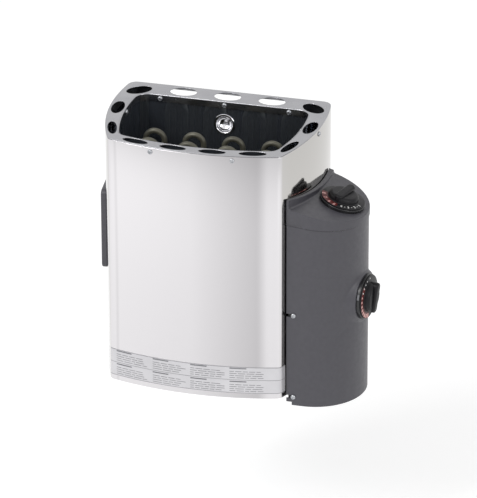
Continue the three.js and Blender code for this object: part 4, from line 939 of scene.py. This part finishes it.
# A turned bowl, an ellipse in section, with a rounded flange, and the screw on its floor.
def buildCup():
    at = normalFrame((0.0, cup["y"], cup["level"]), cup["normal"])
    r, deep, wall, seat, edge = (cup[key] for key in ("radius", "depth", "wall", "seat", "edge"))
    bowl, outer = r - wall, r + cup["flange"]
    a = np.linspace(0, quarterTurn - cup["openEnd"], 18)
    profile = np.concatenate([
        [(outer, seat), (outer, seat + edge), (outer - edge, seat + 2 * edge)],
        [(bowl + cup["mouth"], seat + 2 * edge), (bowl + cup["mouth"] / 4, seat + cup["mouth"] / 2)],
        np.column_stack([bowl * np.cos(a), seat - deep * np.sin(a)]),
        np.column_stack([r * np.cos(a[::-1]), seat - (deep + wall) * np.sin(a[::-1])])])
    points, faces = lathe(profile, 72)
    meshPiece("lock_bowl", placed(at, points), faces, "bright", replaces=["lock_cup"])
    floor = cup["lift"] - deep * math.sqrt(1 - (screwHead["radius"] / bowl) ** 2)
    points, faces = panHead(screwPlace["cupTurn"], floor)
    meshPiece("lock_screw_head", placed(at, points), faces, "bright", replaces=["lock_screw"])


blank = dict(width=96.0, height=123.0, stand=4.8, corner=8.0, leastCorner=0.8, depth=102.0, level=210.5, edge=2.4,
             footIn=2.0, topIn=3.0)


# A rounded rectangle drawn in by an inset, at one level, or on the bow of the casing side where no level is given.
def blankRing(inset, level=None):
    r = max(blank["corner"] - inset, blank["leastCorner"])
    x, y = blank["width"] / 2 - inset - r, blank["height"] / 2 - inset - r
    corners = enumerate(((x, y), (-x, y), (-x, -y), (x, -y)))
    flat = np.concatenate([arcPoints(u, v, r, k * quarterTurn, (k + 1) * quarterTurn, 10) for k, (u, v) in corners])
    if level is None:
        level = np.sqrt(casing["sideRadius"] ** 2 - flat[:, 0] ** 2) - casing["sideRadius"] + box["clear"]
    return np.column_stack([flat, level + 0 * flat[:, 0]])


# A flat cover with a rounded edge, its foot cut to the casing side.
def buildBlank():
    side = centres(casing)[0]
    x = float(sideX(casing, -blank["depth"]))
    at = normalFrame((-x, -blank["depth"], blank["level"]), (-(x - side[0]), -blank["depth"] - side[1], 0))
    edge, stand = blank["edge"], blank["stand"]
    rings = [blankRing(blank["footIn"]), blankRing(0.0)]
    rings += [blankRing(inset, level) for inset, level in arcPoints(edge, stand - edge, edge, halfTurn, quarterTurn, 8)]
    rings = np.array(rings + [blankRing(edge + blank["topIn"], stand)])
    faces = cappedRings(*rings.shape[:2], foot=False)
    meshPiece("blank_shell", placed(at, rings), faces, "graphite", replaces=["left_blank_cover"], smooth=50.0)


strip = dict(low=8.0, high=50.0, left=-126.0, right=-190.0, front=-150.0, sunk=0.1, foil=0.22, ink=0.3, rule=0.55,
             ruleIn=0.4, divider=29.0, barFoot=1.0)
bars = dict(first=-116.0, last=110.0, pitch=57.0, heading=24.0, headingSpan=(3.4, 1.6), rowSpan=(2.2, 4.6, 3.3),
            thick=0.8, run=(5.0, 14.0), space=1.8, fill=42.0, width=50.0, sunk=0.15, proud=0.3, steps=4, seed=7)


# A band between two levels, wrapped round the casing's front from the left end to the right.
def band(low, high, grow):
    outer, inner = loopPlan(casing, grow), loopPlan(casing, strip["sunk"])
    onRight = (outer[:, 0] > 0) & (outer[:, 1] < strip["right"])
    onLeft = (outer[:, 0] <= 0) & (outer[:, 0] > strip["left"]) & (outer[:, 1] < strip["front"])
    keep = onRight | onLeft
    return wrapped(inner[keep], outer[keep], low, high)


# A short printed bar with no wording, on the curve of the front.
def bar(start, end, low, high):
    x = np.linspace(start, end, bars["steps"])[::-1]
    inner, outer = [np.column_stack([x, frontY(casing, x) - rise]) for rise in (bars["sunk"], bars["proud"])]
    return wrapped(inner, outer, low, high)


# Blocks of bars side by side: a heading, then rows of bars of chance length.
def barRows(foot, top):
    chance = np.random.default_rng(bars["seed"])
    headFoot, headTop = bars["headingSpan"]
    rowFoot, rowTop, rowPitch = bars["rowSpan"]
    parts = []
    for cell in np.arange(bars["first"], bars["last"], bars["pitch"]):
        parts.append(bar(cell, cell + bars["heading"], top - headFoot, top - headTop))
        for level in np.arange(foot + rowFoot, top - rowTop, rowPitch):
            x = cell
            while x < cell + bars["fill"]:
                run = float(chance.uniform(*bars["run"]))
                parts.append(bar(x, min(x + run, cell + bars["width"]), level, level + bars["thick"]))
                x += run + bars["space"]
    return parts


def buildStrip():
    low, high, rule, divider = strip["low"], strip["high"], strip["rule"], strip["divider"]
    points, faces = band(low, high, strip["foil"])
    meshPiece("bare_strip", points, faces, "foil")
    parts = [band(z, z + rule, strip["ink"]) for z in (low + strip["ruleIn"], divider, high - rule - strip["ruleIn"])]
    parts += barRows(low + strip["barFoot"], divider) + barRows(divider + strip["barFoot"], high)
    points, faces = merge(*parts)
    meshPiece("bare_strip_rules", points, faces, "rule")


buildScrews()
buildCup()
buildBlank()
buildStrip()
print("fasteners and covers done")


# CAD pieces that show as they are.
shown = dict(
    zinc=["element_carrier", "foot_plate", "rear_rail", "wall_bracket", "box_floor", "timer_shaft",
          "thermostat_shaft"] + [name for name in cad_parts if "nut_" in name],
    satin=["stone_grate"],
    black=["wall_spacer_left", "wall_spacer_right", "cable_gland", "gland_nut"],
    # The chassis takes the black look, which is painted shade for the gap beside the cover.
    gap=["box_chassis"],
    pale=["timer_unit", "thermostat_unit", "limiter_unit", "terminal_block"],
    sleeve=["lead_sleeve"],
    copper=["thermostat_capillary"],
    button=["limiter_button"],
)
for look, names in shown.items():
    for name in names:
        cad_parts[name].data.materials.clear()
        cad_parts[name].data.materials.append(looks[look])
print("CAD pieces done")


# Camera at the photograph's angle: angles in radians, place in millimetres, focal length in pixels.
view = dict(yaw=0.26522, pitch=0.44766, roll=-0.00285, distance=7249.26, right=-14.55, up=48.07, focal=5000.0,
            middle=190.0, back=17.0, sensor=36.0, imageHigh=498.0, clipEnd=100.0)


def buildCamera():
    cy, sy = math.cos(view["yaw"]), math.sin(view["yaw"])
    cp, sp = math.cos(view["pitch"]), math.sin(view["pitch"])
    right, forward = np.array((cy, sy, 0.0)), np.array((-sy * cp, cy * cp, -sp))
    up = np.cross(right, forward)
    cr, sr = math.cos(view["roll"]), math.sin(view["roll"])
    right, up = right * cr + up * sr, up * cr - right * sr
    target = np.array((0.0, -view["back"], view["middle"]))
    place = target - (view["right"] * right + view["up"] * up + view["distance"] * forward)
    camera = bpy.data.cameras.new("camera")
    camera.sensor_width = view["sensor"]
    camera.lens = view["focal"] * view["sensor"] / view["imageHigh"]
    camera.clip_end = view["clipEnd"]
    holder = bpy.data.objects.new("camera", camera)
    holder.matrix_world = Matrix(frameOf((place + hang) * mm, right, up, -forward).tolist())
    bpy.context.scene.collection.objects.link(holder)
    bpy.context.scene.camera = holder


# Rays that meet the eye, also by way of metal or glass.
def seenRays(tree):
    path = addNode(tree, "ShaderNodeLightPath").outputs
    seen = path["Is Camera Ray"]
    for other in ("Is Glossy Ray", "Is Transmission Ray"):
        seen = addNode(tree, "ShaderNodeMath", {0: seen, 1: path[other]}, operation="MAXIMUM").outputs[0]
    return seen


# Floor and lamps in metres. The floor's own glow only lifts it to the pale backdrop, for rays that meet the eye.
stage = dict(world=0.62, floorLift=0.28, floorDrop=0.25, floorSize=30.0, floorColour="#FBFBFB", floorRough=0.9)
lamps = dict(
    key=dict(place=(-1.6, -2.2, 2.4), target=(0, -0.1, -0.1), size=(1.6, 1.6), power=60.0),
    fill=dict(place=(2.2, -1.6, 1.2), target=(0.1, -0.1, -0.1), size=(1.4, 1.4), power=18.0),
)


def buildFloor():
    paint = bpy.data.materials.new("pale_floor")
    paint.use_nodes = True
    tree = paint.node_tree
    shader = tree.nodes["Principled BSDF"]
    shader.inputs["Base Color"].default_value = linear(stage["floorColour"])
    shader.inputs["Roughness"].default_value = stage["floorRough"]
    shader.inputs["Specular IOR Level"].default_value = 0.0
    shader.inputs["Emission Color"].default_value = (1, 1, 1, 1)
    lift = addNode(tree, "ShaderNodeMapRange", {"Value": seenRays(tree), "To Min": 0.0, "To Max": stage["floorLift"]})
    tree.links.new(lift.outputs["Result"], shader.inputs["Emission Strength"])
    size, level = stage["floorSize"], float(cadBox[0][2]) - stage["floorDrop"]
    mesh = bpy.data.meshes.new("floor")
    mesh.from_pydata([(-size, -size, level), (size, -size, level), (size, size, level), (-size, size, level)], [],
                     [(0, 1, 2, 3)])
    mesh.materials.append(paint)
    floor = bpy.data.objects.new("floor", mesh)
    bpy.context.scene.collection.objects.link(floor)


def buildWorld():
    world = bpy.data.worlds.new("studio")
    bpy.context.scene.world = world
    world.use_nodes = True
    tree = world.node_tree
    strength = addNode(tree, "ShaderNodeMapRange", {"Value": seenRays(tree), "To Min": stage["world"], "To Max": 1.0})
    background = tree.nodes["Background"]
    background.inputs["Color"].default_value = (1, 1, 1, 1)
    tree.links.new(strength.outputs["Result"], background.inputs["Strength"])


def addLamp(name, place, target, size, power):
    lamp = bpy.data.lights.new(name, "AREA")
    lamp.shape = "RECTANGLE"
    lamp.size, lamp.size_y = size
    lamp.energy = power
    holder = bpy.data.objects.new(name, lamp)
    holder.location = place
    direction = Vector(target) - Vector(place)
    holder.rotation_euler = direction.to_track_quat("-Z", "Y").to_euler()
    bpy.context.scene.collection.objects.link(holder)


buildCamera()
buildFloor()
buildWorld()
for name, values in lamps.items():
    addLamp(name, **values)
print("camera, floor and light done")
